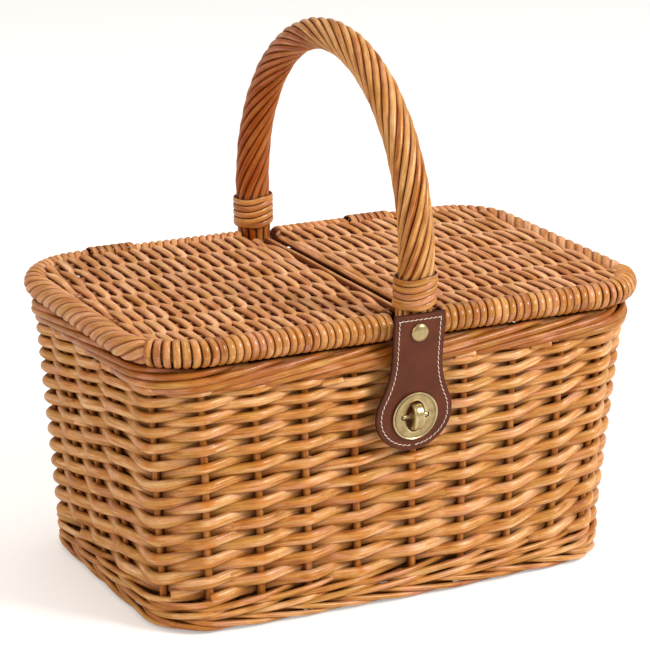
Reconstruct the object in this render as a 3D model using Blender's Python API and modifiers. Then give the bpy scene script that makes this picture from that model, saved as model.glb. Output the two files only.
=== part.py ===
"""A willow pie basket: a tapered woven body, two half lids, a fixed twisted handle and a leather turn-lock tab.

Metres, +Z up. The origin is on the ground under the middle of the basket and the front faces -Y.
"""

import math

import bmesh
import bpy
from mathutils import Matrix, Vector

# Fits between pieces
seat_gap = 0.0003
running_gap = 0.0004
cut_overrun = 0.004
overlap_depth = 0.0008

# Body, measured on its outer face. A flare is how far one side leans out from the base to the top.
body_top_half_width = 0.1975
body_top_half_depth = 0.1288
side_flare = 0.0143
front_flare = 0.0153
base_bow = 0.0065
body_top_corner = 0.048
base_corner = 0.040
body_height = 0.1985
wall_thickness = 0.011
foot_border_height = 0.013
waling_height = 0.022
top_border_height = 0.020
border_bulge = 0.0018
border_shoulder = 0.0060
border_top_round = 0.0030
floor_thickness = 0.008
floor_clearance = 0.004
weave_relief = 0.0017
border_relief = 0.0011
stake_count = 30
weave_rows = 21
waling_rows = 3
border_lay_columns = 6
border_lay_shift_share = 0.25

# Lids, measured on the centre line of their rims
rim_overhang = 0.0025
rim_setback = 0.0068
rim_corner = 0.048
left_back_corner = 0.054
right_back_corner = 0.038
rim_radius = 0.0100
rim_core_radius = 0.0066
rim_crease_depth = 0.0012
rim_stroke = 0.0125
rim_stroke_lean = 0.0045
rim_sides = 8
corner_steps = 10
lid_rest_gap = 0.0005
panel_thickness = 0.0070
panel_drop = 0.0010
lid_relief = 0.0007
lid_rod_pitch = 0.0072
lid_stick_pitch = 0.0215
seam_x = 0.003
seam_width = 0.0024
seam_stick_radius = 0.0035
seam_stick_drop = 0.0038
front_notch_gap = 0.0062
back_notch_gap = 0.0162
left_notch_gap = 0.0035
right_notch_gap = 0.0095

# Cane wound round the front rims
wrap_turns = 24
wrap_points = 8
wrap_gap = 0.0006
wrap_crown_share = 0.72
left_wrap_end_degrees = 62
right_wrap_end_degrees = 84

# Cane hinges that tie the back rims to the top border
hinge_turns = 6
hinge_pitch = 0.0060
hinge_core_radius = 0.0078
hinge_cane_thickness = 0.0026
hinge_cane_gap = 0.0006
left_hinge_inset = 0.0770
right_hinge_inset = 0.1035
hinge_bar_height = 0.0090
hinge_window_height = 0.0048
hinge_side_room = 0.0010
hinge_lap_degrees = 200
hinge_arc_points = 7

# Handle, an arch in the plane x = 0. Its legs lean out from the foot to the spring of the arch.
handle_foot_setback = 0.0026
handle_lean = 0.0038
handle_leg_height = 0.0565
handle_rise = 0.1365
handle_radius = 0.0130
handle_top_radius = 0.0116
handle_foot_radius = 0.0120
handle_rod_round = 0.0013
handle_rod_count = 12
handle_lay_length = 0.183
handle_core_radius = 0.0035
handle_core_seat = 0.034
handle_core_sides = 6
handle_leg_steps = 4
handle_arch_steps = 32

# Cane collars round the handle's legs, from the top of the body
front_collar_rise = 0.0250
back_collar_rise = 0.0221
collar_turns = 5
collar_pitch = 0.0049
collar_gap = 0.0006
collar_cane_thickness = 0.0018
collar_points = 18

# Leather tab and its rivet, on a slope of their own
tab_x = -0.0033
tab_slope_degrees = 4.8
leather_thickness = 0.0026
tab_bend_drop = 0.0020
tab_collar_gap = 0.0013
tab_top_half_width = 0.0202
tab_neck_half_width = 0.0200
tab_disc_radius = 0.0303
tab_disc_drop = 0.0498
tab_neck_drop = 0.0070
tab_arc_steps = 12
rivet_rise = 0.0123
rivet_head_radius = 0.0068
rivet_head_height = 0.0030
rivet_shank_radius = 0.0018
rivet_depth = 0.0055
dome_steps = 4

# Turn lock, measured in the tab's own plane
lock_drop = 0.0502
plate_radius = 0.0178
plate_thickness = 0.0012
plate_rim_height = 0.0008
plate_rim_width = 0.0022
slot_half_width = 0.0076
slot_half_height = 0.0117
notch_half_width = 0.0112
notch_half_height = 0.0020
leather_hole_radius = 0.0128
bar_half_width = 0.0104
bar_half_height = 0.0013
bar_proud = 0.0005
lock_base_radius = 0.0140
lock_base_thickness = 0.0012
stem_radius = 0.0028
knob_half_width = 0.0039
knob_half_height = 0.0098
knob_depth = 0.0075
knob_round = 0.0009
knob_steps = 10
oval_steps = 24
round_steps = 28

# Worked out from the sizes above
columns = 2 * stake_count
base_half_width = body_top_half_width - side_flare
base_half_depth = body_top_half_depth - front_flare
rim_half_width = body_top_half_width + rim_overhang
rim_half_depth = body_top_half_depth - rim_setback
rim_height = body_height + lid_rest_gap + rim_radius
left_hinge_x = left_hinge_inset - rim_half_width
right_hinge_x = rim_half_width - right_hinge_inset
hinge_lap = math.radians(hinge_lap_degrees)
handle_foot_half_depth = body_top_half_depth - handle_foot_setback
handle_half_depth = handle_foot_half_depth + handle_lean
handle_spring_height = body_height + handle_leg_height
front_notch_depth = handle_foot_half_depth - handle_foot_radius - front_notch_gap
back_notch_depth = handle_foot_half_depth - handle_foot_radius - back_notch_gap
left_notch = handle_radius + left_notch_gap
right_notch = handle_radius + right_notch_gap
front_collar_height = body_height + front_collar_rise
back_collar_height = body_height + back_collar_rise
tab_bend_height = body_height - tab_bend_drop
tab_top_height = front_collar_height - tab_collar_gap
weave_foot = foot_border_height + waling_height + 2 * seat_gap
weave_top = body_height - top_border_height - seat_gap
panel_top = rim_height + rim_radius - panel_drop
panel_bottom = panel_top - panel_thickness
panel_lift = panel_bottom - rim_height
panel_reach = rim_radius - panel_lift * math.tan(math.pi / rim_sides) + seat_gap / math.cos(math.pi / rim_sides)
hinge_step = (2 * hinge_lap - math.pi) / (hinge_arc_points - 1)
hinge_inner_radius = (hinge_core_radius + running_gap) / math.cos(hinge_step / 2)
hinge_outer_radius = hinge_inner_radius + hinge_cane_thickness
hinge_half_width = (hinge_turns + 1) * hinge_pitch / 2 + hinge_side_room
core_bore_radius = (handle_core_radius + seat_gap) / math.cos(math.pi / handle_core_sides)
tab_slope = math.radians(tab_slope_degrees)
plate_back = leather_thickness + seat_gap
plate_front = plate_back + plate_thickness
knob_back = plate_front + plate_rim_height + seat_gap


def new_collection(name):
    made = bpy.data.collections.new(name)
    bpy.context.scene.collection.children.link(made)
    return made


def new_material(name, colour, roughness, metallic=0.0):
    made = bpy.data.materials.new(name)
    made.use_nodes = True
    shader = made.node_tree.nodes["Principled BSDF"]
    shader.inputs["Base Color"].default_value = (*colour, 1.0)
    shader.inputs["Roughness"].default_value = roughness
    shader.inputs["Metallic"].default_value = metallic
    made.diffuse_color = (*colour, 1.0)
    return made


def new_object(name, bm, material, place=None):
    """Makes an object from a bmesh, with its faces turned outwards. A cutter has no material."""
    bmesh.ops.recalc_face_normals(bm, faces=bm.faces)
    mesh = bpy.data.meshes.new(name)
    bm.to_mesh(mesh)
    bm.free()
    made = bpy.data.objects.new(name, mesh)
    if material:
        parts.objects.link(made)
        mesh.materials.append(material)
    else:
        cutters.objects.link(made)
        made.hide_render = True
        made.display_type = "WIRE"
    if place:
        made.matrix_world = place
    return made


def attach(piece, parent):
    """Parents a piece that was modelled in world space, without moving it."""
    bpy.context.view_layer.update()
    piece.parent = parent
    piece.matrix_parent_inverse = parent.matrix_world.inverted()


def new_axis(name, place):
    made = bpy.data.objects.new(name, None)
    made.matrix_world = place
    parts.objects.link(made)
    return made


def apply_boolean(piece, operation, other):
    modifier = piece.modifiers.new(other.name, "BOOLEAN")
    modifier.operation = operation
    modifier.object = other


def join_rings(bm, rows, closed=False):
    pairs = list(zip(rows, rows[1:]))
    if closed:
        pairs.append((rows[-1], rows[0]))
    for low, high in pairs:
        count = len(low)
        for i in range(count):
            bm.faces.new((low[i], low[(i + 1) % count], high[(i + 1) % count], high[i]))


def loft(name, rings, material, place=None, closed=False):
    """A solid through rings of points, capped at its ends or closed on itself."""
    bm = bmesh.new()
    rows = [[bm.verts.new(point) for point in ring] for ring in rings]
    join_rings(bm, rows, closed)
    if not closed:
        bm.faces.new(rows[0])
        bm.faces.new(rows[-1])
    return new_object(name, bm, material, place)


def sleeve(name, rings, bores, material):
    """A lofted tube whose bore has fewer sides than its outside, by a whole number."""
    bm = bmesh.new()
    outer = [[bm.verts.new(point) for point in ring] for ring in rings]
    inner = [[bm.verts.new(point) for point in ring] for ring in bores]
    join_rings(bm, outer)
    join_rings(bm, inner)
    for outside, inside in ((outer[0], inner[0]), (outer[-1], inner[-1])):
        ratio = len(outside) // len(inside)
        for j, corner in enumerate(inside):
            for q in range(j * ratio, (j + 1) * ratio):
                bm.faces.new((outside[q], outside[(q + 1) % len(outside)], corner))
            after = inside[(j + 1) % len(inside)]
            bm.faces.new((outside[(j + 1) * ratio % len(outside)], after, corner))
    return new_object(name, bm, material)


def turned(name, profile, material, place):
    """A turned piece. profile is (radius, height) down its outer side, from the axis back to the axis."""
    bm = bmesh.new()
    verts = [bm.verts.new((radius, 0.0, height)) for radius, height in profile]
    for upper, lower in zip(verts, verts[1:]):
        bm.edges.new((upper, lower))
    made = new_object(name, bm, material, place)
    screw = made.modifiers.new("turn", "SCREW")
    screw.steps = round_steps
    screw.render_steps = round_steps
    screw.use_merge_vertices = True
    screw.merge_threshold = 0.00001
    return made


def plug(name, radius, top, bottom, place):
    """A cylinder, as a cutter or to be joined on."""
    return turned(name, ((0.0, top), (radius, top), (radius, bottom), (0.0, bottom)), None, place)


def outline_point(share, half_x, half_y, corner):
    """The point and outward normal at a share of the way round a rounded rectangle, from the middle of its front."""
    run_x = half_x - corner
    run_y = half_y - corner
    quarter = math.pi * corner / 2
    lengths = (run_x, quarter, 2 * run_y, quarter, 2 * run_x, quarter, 2 * run_y, quarter, run_x)
    left = (share % 1.0) * sum(lengths)
    heading = 0.0
    x, y = 0.0, -half_y
    for index, length in enumerate(lengths):
        along = min(left, length)
        if index % 2:
            after = heading + along / corner
            x += corner * (math.sin(after) - math.sin(heading))
            y += corner * (math.cos(heading) - math.cos(after))
            heading = after
        else:
            x += along * math.cos(heading)
            y += along * math.sin(heading)
        left -= along
        if left <= 0:
            break
    return Vector((x, y, 0.0)), Vector((math.sin(heading), -math.cos(heading), 0.0))


def body_section(height):
    """Half width, half depth and corner radius of the body's outer face at a height, without the bow."""
    share = height / body_height
    return (
        base_half_width + share * (body_top_half_width - base_half_width),
        base_half_depth + share * (body_top_half_depth - base_half_depth),
        base_corner + share * (body_top_corner - base_corner),
    )


def bow_at(height):
    return base_bow * (1 - height / body_height)


def wall_face(height):
    """How far out the front and back walls' outer faces are at a height, on the line x = 0."""
    return body_section(height)[1] + bow_at(height)


def body_ring(height, out, relief=None):
    """Points round the body at a height, moved out from its face by a fixed amount and by a relief."""
    half_x, half_y, corner = body_section(height)
    ring = []
    for column in range(columns):
        point, normal = outline_point(column / columns, half_x, half_y, corner)
        lift = out + (relief(column) if relief else 0.0)
        lift += bow_at(height) * normal.y ** 2 * math.cos(math.pi / 2 * point.x / half_x)
        ring.append(point + normal * lift + Vector((0.0, 0.0, height)))
    return ring


def woven_ring(name, levels, material):
    """A band round the body. levels hold (height, out, relief) up its outer face."""
    rings = [body_ring(*level) for level in levels]
    rings.append(body_ring(levels[-1][0], -wall_thickness))
    rings.append(body_ring(levels[0][0], -wall_thickness))
    return loft(name, rings, material, closed=True)


def lay(shift, direction=1):
    """The relief of long slanted rods, at one level."""
    return lambda column: border_relief * math.cos(
        2 * math.pi * (direction * column / border_lay_columns + shift)
    )


def over_under(row):
    """The relief of one weaver that passes in front of every other stake."""
    def relief(column):
        if column % 2:
            return 0.0
        return weave_relief * (1 if (column // 2 + row) % 2 else -1)
    return relief


def make_body():
    """Floor, foot border, waling, side weave and top border."""
    inset = wall_thickness + seat_gap
    floor_rings = [body_ring(height, -inset) for height in (floor_clearance, floor_clearance + floor_thickness)]
    loft("floor_weave", floor_rings, willow)

    woven_ring("foot_border", (
        (0.0, 0.0, None),
        (foot_border_height / 3, border_bulge, lay(0.0, -1)),
        (foot_border_height * 2 / 3, border_bulge, lay(border_lay_shift_share, -1)),
        (foot_border_height, 0.0, None),
    ), willow)

    waling_foot = foot_border_height + seat_gap
    levels = [(waling_foot, 0.0, None)]
    for row in range(waling_rows):
        levels.append((waling_foot + waling_height * (row + 0.5) / waling_rows, border_relief, lay(row / waling_rows)))
    levels.append((waling_foot + waling_height, 0.0, None))
    woven_ring("lower_waling", levels, willow)

    levels = [(weave_foot, 0.0, None)]
    for row in range(weave_rows):
        levels.append((weave_foot + (weave_top - weave_foot) * (row + 0.5) / weave_rows, 0.0, over_under(row)))
    levels.append((weave_top, 0.0, None))
    side = woven_ring("side_weave", levels, willow)

    border = woven_ring("top_border", (
        (body_height - top_border_height, 0.0, None),
        (body_height - hinge_bar_height - hinge_window_height, border_bulge, lay(0.0)),
        (body_height - border_shoulder, border_bulge, lay(border_lay_shift_share)),
        (body_height, -border_top_round, None),
    ), willow)

    for word, end in (("front", -1), ("back", 1)):
        leg = core_leg(end)
        for piece in (side, border):
            rings = [handle_ring(point, Vector((0.0, 0.0, 1.0)), [core_bore_radius] * handle_core_sides, 0.0)
                     for point in (leg[0] - Vector((0.0, 0.0, seat_gap)), leg[1])]
            apply_boolean(piece, "DIFFERENCE", loft(f"{word}_seat_in_{piece.name}", rings, None))
    for word, x in (("left", left_hinge_x), ("right", right_hinge_x)):
        top = body_height - hinge_bar_height
        outer = body_top_half_depth + border_bulge + border_relief + cut_overrun
        inner = body_section(body_height - top_border_height)[1] - wall_thickness - cut_overrun
        window = box(f"{word}_hinge_window", (x - hinge_half_width, inner, top - hinge_window_height),
                     (x + hinge_half_width, outer, top))
        apply_boolean(border, "DIFFERENCE", window)


def box(name, low, high, place=None):
    rings = [[Vector((x, y, z)) for x, y in ((low[0], low[1]), (high[0], low[1]), (high[0], high[1]), (low[0], high[1]))]
             for z in (low[2], high[2])]
    return loft(name, rings, None, place)


def core_leg(end):
    """Where the handle core's end runs down inside the wall. end is -1 in front and +1 behind."""
    foot = body_height - handle_core_seat
    in_wall = wall_face(foot) - (wall_thickness + weave_relief) / 2
    top = Vector((0.0, end * handle_foot_half_depth, body_height + 2 * seat_gap))
    return [Vector((0.0, end * in_wall, foot)), top]


def leg_out(height):
    """How far out a handle leg's centre is at a height."""
    share = (height - body_height) / handle_leg_height
    return handle_foot_half_depth + share * handle_lean


def leg_radius(height):
    share = min(1.0, (height - body_height) / back_collar_rise)
    return handle_foot_radius + share * (handle_radius - handle_foot_radius)


def handle_ring(point, along, radii, turn):
    side = Vector((1.0, 0.0, 0.0))
    up = along.cross(side)
    ring = []
    for k, radius in enumerate(radii):
        angle = turn + 2 * math.pi * k / len(radii)
        ring.append(point + radius * (math.cos(angle) * side + math.sin(angle) * up))
    return ring


def handle_path():
    """(point, radius) from the front foot to the back foot."""
    foot = body_height + seat_gap
    leg = []
    for k in range(handle_leg_steps):
        height = foot + (handle_spring_height - foot) * k / handle_leg_steps
        leg.append((Vector((0.0, -leg_out(height), height)), leg_radius(height)))
    path = list(leg)
    for k in range(handle_arch_steps + 1):
        angle = math.pi * k / handle_arch_steps
        rise = math.sin(angle)
        point = Vector((0.0, -handle_half_depth * math.cos(angle), handle_spring_height + handle_rise * rise))
        path.append((point, handle_radius + rise * (handle_top_radius - handle_radius)))
    path += [(Vector((0.0, -point.y, point.z)), radius) for point, radius in reversed(leg)]
    return path


def make_handle():
    """Twisted willow rods laid round a core, and the cane collars that bind them."""
    path = handle_path()
    rings, bores, cores = [], [], []
    run = 0.0
    for k, (point, radius) in enumerate(path):
        before, after = path[max(k - 1, 0)][0], path[min(k + 1, len(path) - 1)][0]
        if handle_leg_steps - 1 < k <= len(path) - handle_leg_steps:
            run += (point - before).length
        along = (after - before).normalized()
        if k in (0, len(path) - 1):
            along = Vector((0.0, 0.0, 1.0 if k == 0 else -1.0))
        turn = 2 * math.pi * run / handle_lay_length
        rings.append(handle_ring(point, along, [radius, radius - handle_rod_round] * handle_rod_count, turn))
        bores.append(handle_ring(point, along, [core_bore_radius] * handle_core_sides, turn))
        cores.append(handle_ring(point, along, [handle_core_radius] * handle_core_sides, turn))
    rods = sleeve("handle_rods", rings, bores, willow)
    hole = plug("rivet_hole_in_handle", rivet_shank_radius + seat_gap, rivet_back + cut_overrun,
                rivet_back - rivet_depth - seat_gap, rivet_place)
    apply_boolean(rods, "DIFFERENCE", hole)

    down = Vector((0.0, 0.0, 1.0))
    last_turn = 2 * math.pi * run / handle_lay_length
    start = handle_ring(core_leg(-1)[0], down, [handle_core_radius] * handle_core_sides, 0.0)
    end = handle_ring(core_leg(1)[0], -down, [handle_core_radius] * handle_core_sides, last_turn)
    loft("handle_core", [start] + cores + [end], willow)

    inner = (handle_radius + seat_gap) / math.cos(math.pi / collar_points)
    for word, end, foot in (("front", -1, front_collar_height), ("back", 1, back_collar_height)):
        def place(s, turn, lift, end=end, foot=foot):
            angle = 2 * math.pi * turn + math.pi / 2
            height = foot + collar_pitch / 2 + s
            radius = inner + lift
            return Vector((radius * math.cos(angle), end * leg_out(height) + radius * math.sin(angle), height))
        winding(f"{word}_collar", place, collar_pitch, collar_gap, collar_turns, collar_points,
                collar_cane_thickness, cane)


def winding(name, place, pitch, gap, turns, points, thickness, material):
    """Cane wound in one unbroken strip. place(s, turn, lift) gives a point at a distance s along what it winds
    round, a turn counted in turns, and a lift off its inner face."""
    half = (pitch - gap) / 2
    crown = half * wrap_crown_share
    rings = []
    for k in range(turns * points + 1):
        turn = k / points
        s = pitch * turn
        rings.append((
            place(s - half, turn, 0.0),
            place(s + half, turn, 0.0),
            place(s + crown, turn, thickness),
            place(s - crown, turn, thickness),
        ))
    least = min((later[0] - sooner[1]).length for sooner, later in zip(rings, rings[points:]))
    print(f"{name}: {turns} turns, least gap between turns {1000 * least:.2f} mm")
    return loft(name, rings, material)


def back_corner(side):
    return right_back_corner if side > 0 else left_back_corner


def rim_lengths(side):
    """The runs and bends of a lid's rim, from its front notch round to its back one. side is 1 right, -1 left."""
    notch = right_notch if side > 0 else left_notch
    near, far = rim_corner, back_corner(side)
    return (
        rim_half_width - near - notch, math.pi * near / 2, 2 * rim_half_depth - near - far,
        math.pi * far / 2, rim_half_width - far - notch,
    )


def rim_point(side, s, angle, radius):
    """A point on a tube round a rim, a distance s from its front notch. angle turns up from straight outwards."""
    front, near_bend, flank, far_bend, _ = rim_lengths(side)
    near, far = rim_corner, back_corner(side)
    past_bend = s - front - near_bend
    past_flank = past_bend - flank
    if s <= front:
        x, y, facing = rim_half_width - near - front + s, -rim_half_depth, -math.pi / 2
    elif past_bend <= 0:
        facing = (s - front) / near - math.pi / 2
        x = rim_half_width - near + near * math.cos(facing)
        y = near - rim_half_depth + near * math.sin(facing)
    elif past_flank <= 0:
        x, y, facing = rim_half_width, near - rim_half_depth + past_bend, 0.0
    elif past_flank <= far_bend:
        facing = past_flank / far
        x = rim_half_width - far + far * math.cos(facing)
        y = rim_half_depth - far + far * math.sin(facing)
    else:
        x, y, facing = rim_half_width - far - (past_flank - far_bend), rim_half_depth, math.pi / 2
    out = Vector((side * math.cos(facing), math.sin(facing), 0.0))
    up = Vector((0.0, 0.0, 1.0))
    return Vector((side * x, y, rim_height)) + radius * (math.cos(angle) * out + math.sin(angle) * up)


def rim_stations(side, bare_to):
    """(s, radius, how far its strokes lean) along a lid's rim, bare under the cane wrap and in the hinge."""
    front, near_bend = rim_lengths(side)[:2]
    total = sum(rim_lengths(side))
    hinge_x = right_hinge_x if side > 0 else left_hinge_x
    notch = right_notch if side > 0 else left_notch
    hinge_middle = total - abs(hinge_x) + notch
    bare_from = hinge_middle - hinge_half_width
    bare_back = hinge_middle + hinge_half_width
    stations = [(0.0, rim_core_radius, 0.0)]
    bend = [front + near_bend * k / corner_steps for k in range(corner_steps + 1)]
    stations += [(s, rim_core_radius, 0.0) for s in bend if s < bare_to - rim_stroke_lean]
    stations.append((bare_to, rim_core_radius, 0.0))
    crease = rim_radius - rim_crease_depth
    for start, end in ((bare_to, bare_from), (bare_back, total)):
        strokes = max(2, round((end - start) / rim_stroke))
        step = (end - start) / strokes
        stations.append((start + seat_gap, crease, 0.0))
        for k in range(strokes):
            lean = 1.0 if 0 < k < strokes - 1 else 0.3
            if k:
                stations.append((start + k * step, crease, min(1.0, lean * 2)))
            stations.append((start + (k + 0.5) * step, rim_radius, lean))
        stations.append((end - seat_gap, crease, 0.0))
        if end < total:
            stations.append((end, hinge_core_radius, 0.0))
            stations.append((bare_back, hinge_core_radius, 0.0))
    return stations


def make_lid(side, axis):
    """One half lid: rim, cane wrap, seam stick and woven panel."""
    word = "right" if side > 0 else "left"
    wrap_end = math.radians(right_wrap_end_degrees if side > 0 else left_wrap_end_degrees)
    wrapped = rim_lengths(side)[0] + rim_corner * wrap_end
    pitch = wrapped / (wrap_turns + 1)
    rings = []
    for s, radius, lean in rim_stations(side, wrapped):
        ring = []
        for k in range(rim_sides):
            angle = 2 * math.pi * (k + 0.5) / rim_sides
            ring.append(rim_point(side, s + lean * rim_stroke_lean * math.sin(angle), angle, radius))
        rings.append(ring)
    rim = loft(f"{word}_lid_rim", rings, lid_willow)

    inner = (rim_core_radius + seat_gap) / math.cos(math.pi / wrap_points)

    def place(s, turn, lift):
        return rim_point(side, s + pitch / 2, side * 2 * math.pi * turn - math.pi / 2, inner + lift)

    wrap = winding(f"{word}_lid_front_wrap", place, pitch, wrap_gap, wrap_turns, wrap_points,
                   rim_radius - inner, cane)

    stick_x = seam_x + side * (seam_width / 2 + seam_stick_radius)
    stick_z = rim_height + rim_radius - seam_stick_drop
    rings = []
    for y in (-front_notch_depth, back_notch_depth):
        rings.append([
            Vector((stick_x + seam_stick_radius * math.cos(2 * math.pi * k / rim_sides), y,
                    stick_z + seam_stick_radius * math.sin(2 * math.pi * k / rim_sides)))
            for k in range(rim_sides)
        ])
    stick = loft(f"{word}_lid_seam_stick", rings, lid_willow)
    panel = make_panel(side, side * stick_x + seam_stick_radius + seat_gap)
    for piece in (rim, wrap, stick, panel):
        attach(piece, axis)


def make_panel(side, inner_x):
    """The woven panel: bumps where rods cross over hidden sticks, cut to the outline inside the rim."""
    word = "right" if side > 0 else "left"
    notch = right_notch if side > 0 else left_notch
    edge_x = rim_half_width - panel_reach
    edge_y = rim_half_depth - panel_reach
    rods = max(4, round((edge_x - inner_x) / lid_rod_pitch))
    sticks = max(4, round(2 * edge_y / lid_stick_pitch))
    low_x, high_x = inner_x - cut_overrun, edge_x + cut_overrun
    bm = bmesh.new()
    top = []
    for i in range(rods + 1):
        x = low_x + (high_x - low_x) * i / rods
        row = []
        for j in range(sticks + 1):
            y = (edge_y + cut_overrun) * (2 * j / sticks - 1)
            lift = lid_relief * (1 if (i + j) % 2 else -1)
            row.append(bm.verts.new((side * x, y, panel_top + lift)))
        top.append(row)
    for i in range(rods):
        for j in range(sticks):
            bm.faces.new((top[i][j], top[i + 1][j], top[i + 1][j + 1], top[i][j + 1]))
    edge = [row[0] for row in top] + top[-1][1:] + [row[-1] for row in reversed(top[:-1])]
    edge += [vert for vert in reversed(top[0][1:-1])]
    under = [bm.verts.new((vert.co.x, vert.co.y, panel_bottom)) for vert in edge]
    join_rings(bm, [edge, under])
    bm.faces.new(under)
    panel = new_object(f"{word}_lid_weave", bm, lid_willow)

    hinge_x = abs(right_hinge_x if side > 0 else left_hinge_x)
    recess_y = rim_half_depth - hinge_outer_radius - 2 * running_gap
    near, far = rim_corner - panel_reach, back_corner(side) - panel_reach
    outline = [(inner_x, -front_notch_depth), (notch, -front_notch_depth), (notch, -edge_y)]
    for start, corner, middle_y in ((-math.pi / 2, near, near - edge_y), (0.0, far, edge_y - far)):
        for k in range(corner_steps + 1):
            angle = start + math.pi / 2 * k / corner_steps
            outline.append((edge_x - corner + corner * math.cos(angle), middle_y + corner * math.sin(angle)))
    outline += [
        (hinge_x + hinge_half_width, edge_y), (hinge_x + hinge_half_width, recess_y),
        (hinge_x - hinge_half_width, recess_y), (hinge_x - hinge_half_width, edge_y),
        (notch, edge_y), (notch, back_notch_depth), (inner_x, back_notch_depth),
    ]
    rings = [[Vector((side * x, y, z)) for x, y in outline]
             for z in (panel_bottom - cut_overrun, panel_top + cut_overrun)]
    apply_boolean(panel, "INTERSECT", loft(f"{word}_lid_outline", rings, None))
    return panel


def make_hinge(word, x):
    """Cane wound round the lid's back rim and the border's top rods together, through the window below them."""
    outer = body_top_half_depth + border_bulge + border_relief + seat_gap
    inner = body_section(body_height - top_border_height)[1] - wall_thickness - seat_gap
    under = body_height - hinge_bar_height - seat_gap
    contour = []
    for k in range(hinge_arc_points):
        angle = hinge_lap - hinge_step * k
        out = Vector((0.0, math.cos(angle), math.sin(angle)))
        contour.append((Vector((0.0, rim_half_depth, rim_height)) + hinge_inner_radius * out, out))
    contour.append((Vector((0.0, outer, body_height - border_shoulder + seat_gap)), Vector((0.0, 1.0, 0.3))))
    contour.append((Vector((0.0, outer, under)), Vector((0.0, 1.0, -1.0))))
    contour.append((Vector((0.0, inner, under)), Vector((0.0, -1.0, -1.0))))
    start = x - hinge_turns * hinge_pitch / 2

    def place(s, turn, lift):
        point, out = contour[round(turn * len(contour)) % len(contour)]
        return point + lift * out + Vector((start + s, 0.0, 0.0))

    winding(f"{word}_hinge_binding", place, hinge_pitch, hinge_cane_gap, hinge_turns, len(contour),
            hinge_cane_thickness, cane)


def tab_face():
    """How far out the back of the leather is at the bend, so that it clears the handle's foot and the wall."""
    lean = math.tan(tab_slope)
    needs = [
        (height, leg_out(height) + leg_radius(height))
        for height in (body_height + seat_gap, tab_top_height)
    ]
    disc_bottom = tab_bend_height - (tab_disc_drop + tab_disc_radius) * math.cos(tab_slope)
    base_bottom = tab_bend_height - (lock_drop + lock_base_radius) * math.cos(tab_slope)
    needs.append((disc_bottom, wall_face(disc_bottom) + weave_relief))
    needs.append((base_bottom, wall_face(base_bottom) + weave_relief + lock_base_thickness + seat_gap))
    border = body_height - border_shoulder
    needs.append((border, wall_face(border) + border_bulge + border_relief))
    return max(out - lean * (height - tab_bend_height) for height, out in needs) + seat_gap


def tab_frame(drop):
    """A frame on the back of the leather, a distance down from the bend: Z out of the basket, Y up the slope."""
    bend = Matrix.Translation((tab_x, -tab_face(), tab_bend_height)) @ Matrix.Rotation(math.pi / 2 + tab_slope, 4, "X")
    return bend @ Matrix.Translation((0.0, -drop, 0.0))


def leather_piece(name, outline):
    rings = [[Vector((x, y, z)) for x, y in outline] for z in (0.0, leather_thickness)]
    return loft(name, rings, leather, tab_frame(0.0))


def oval(half_x, half_y):
    return [(half_x * math.cos(2 * math.pi * k / oval_steps), half_y * math.sin(2 * math.pi * k / oval_steps))
            for k in range(oval_steps)]


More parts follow.
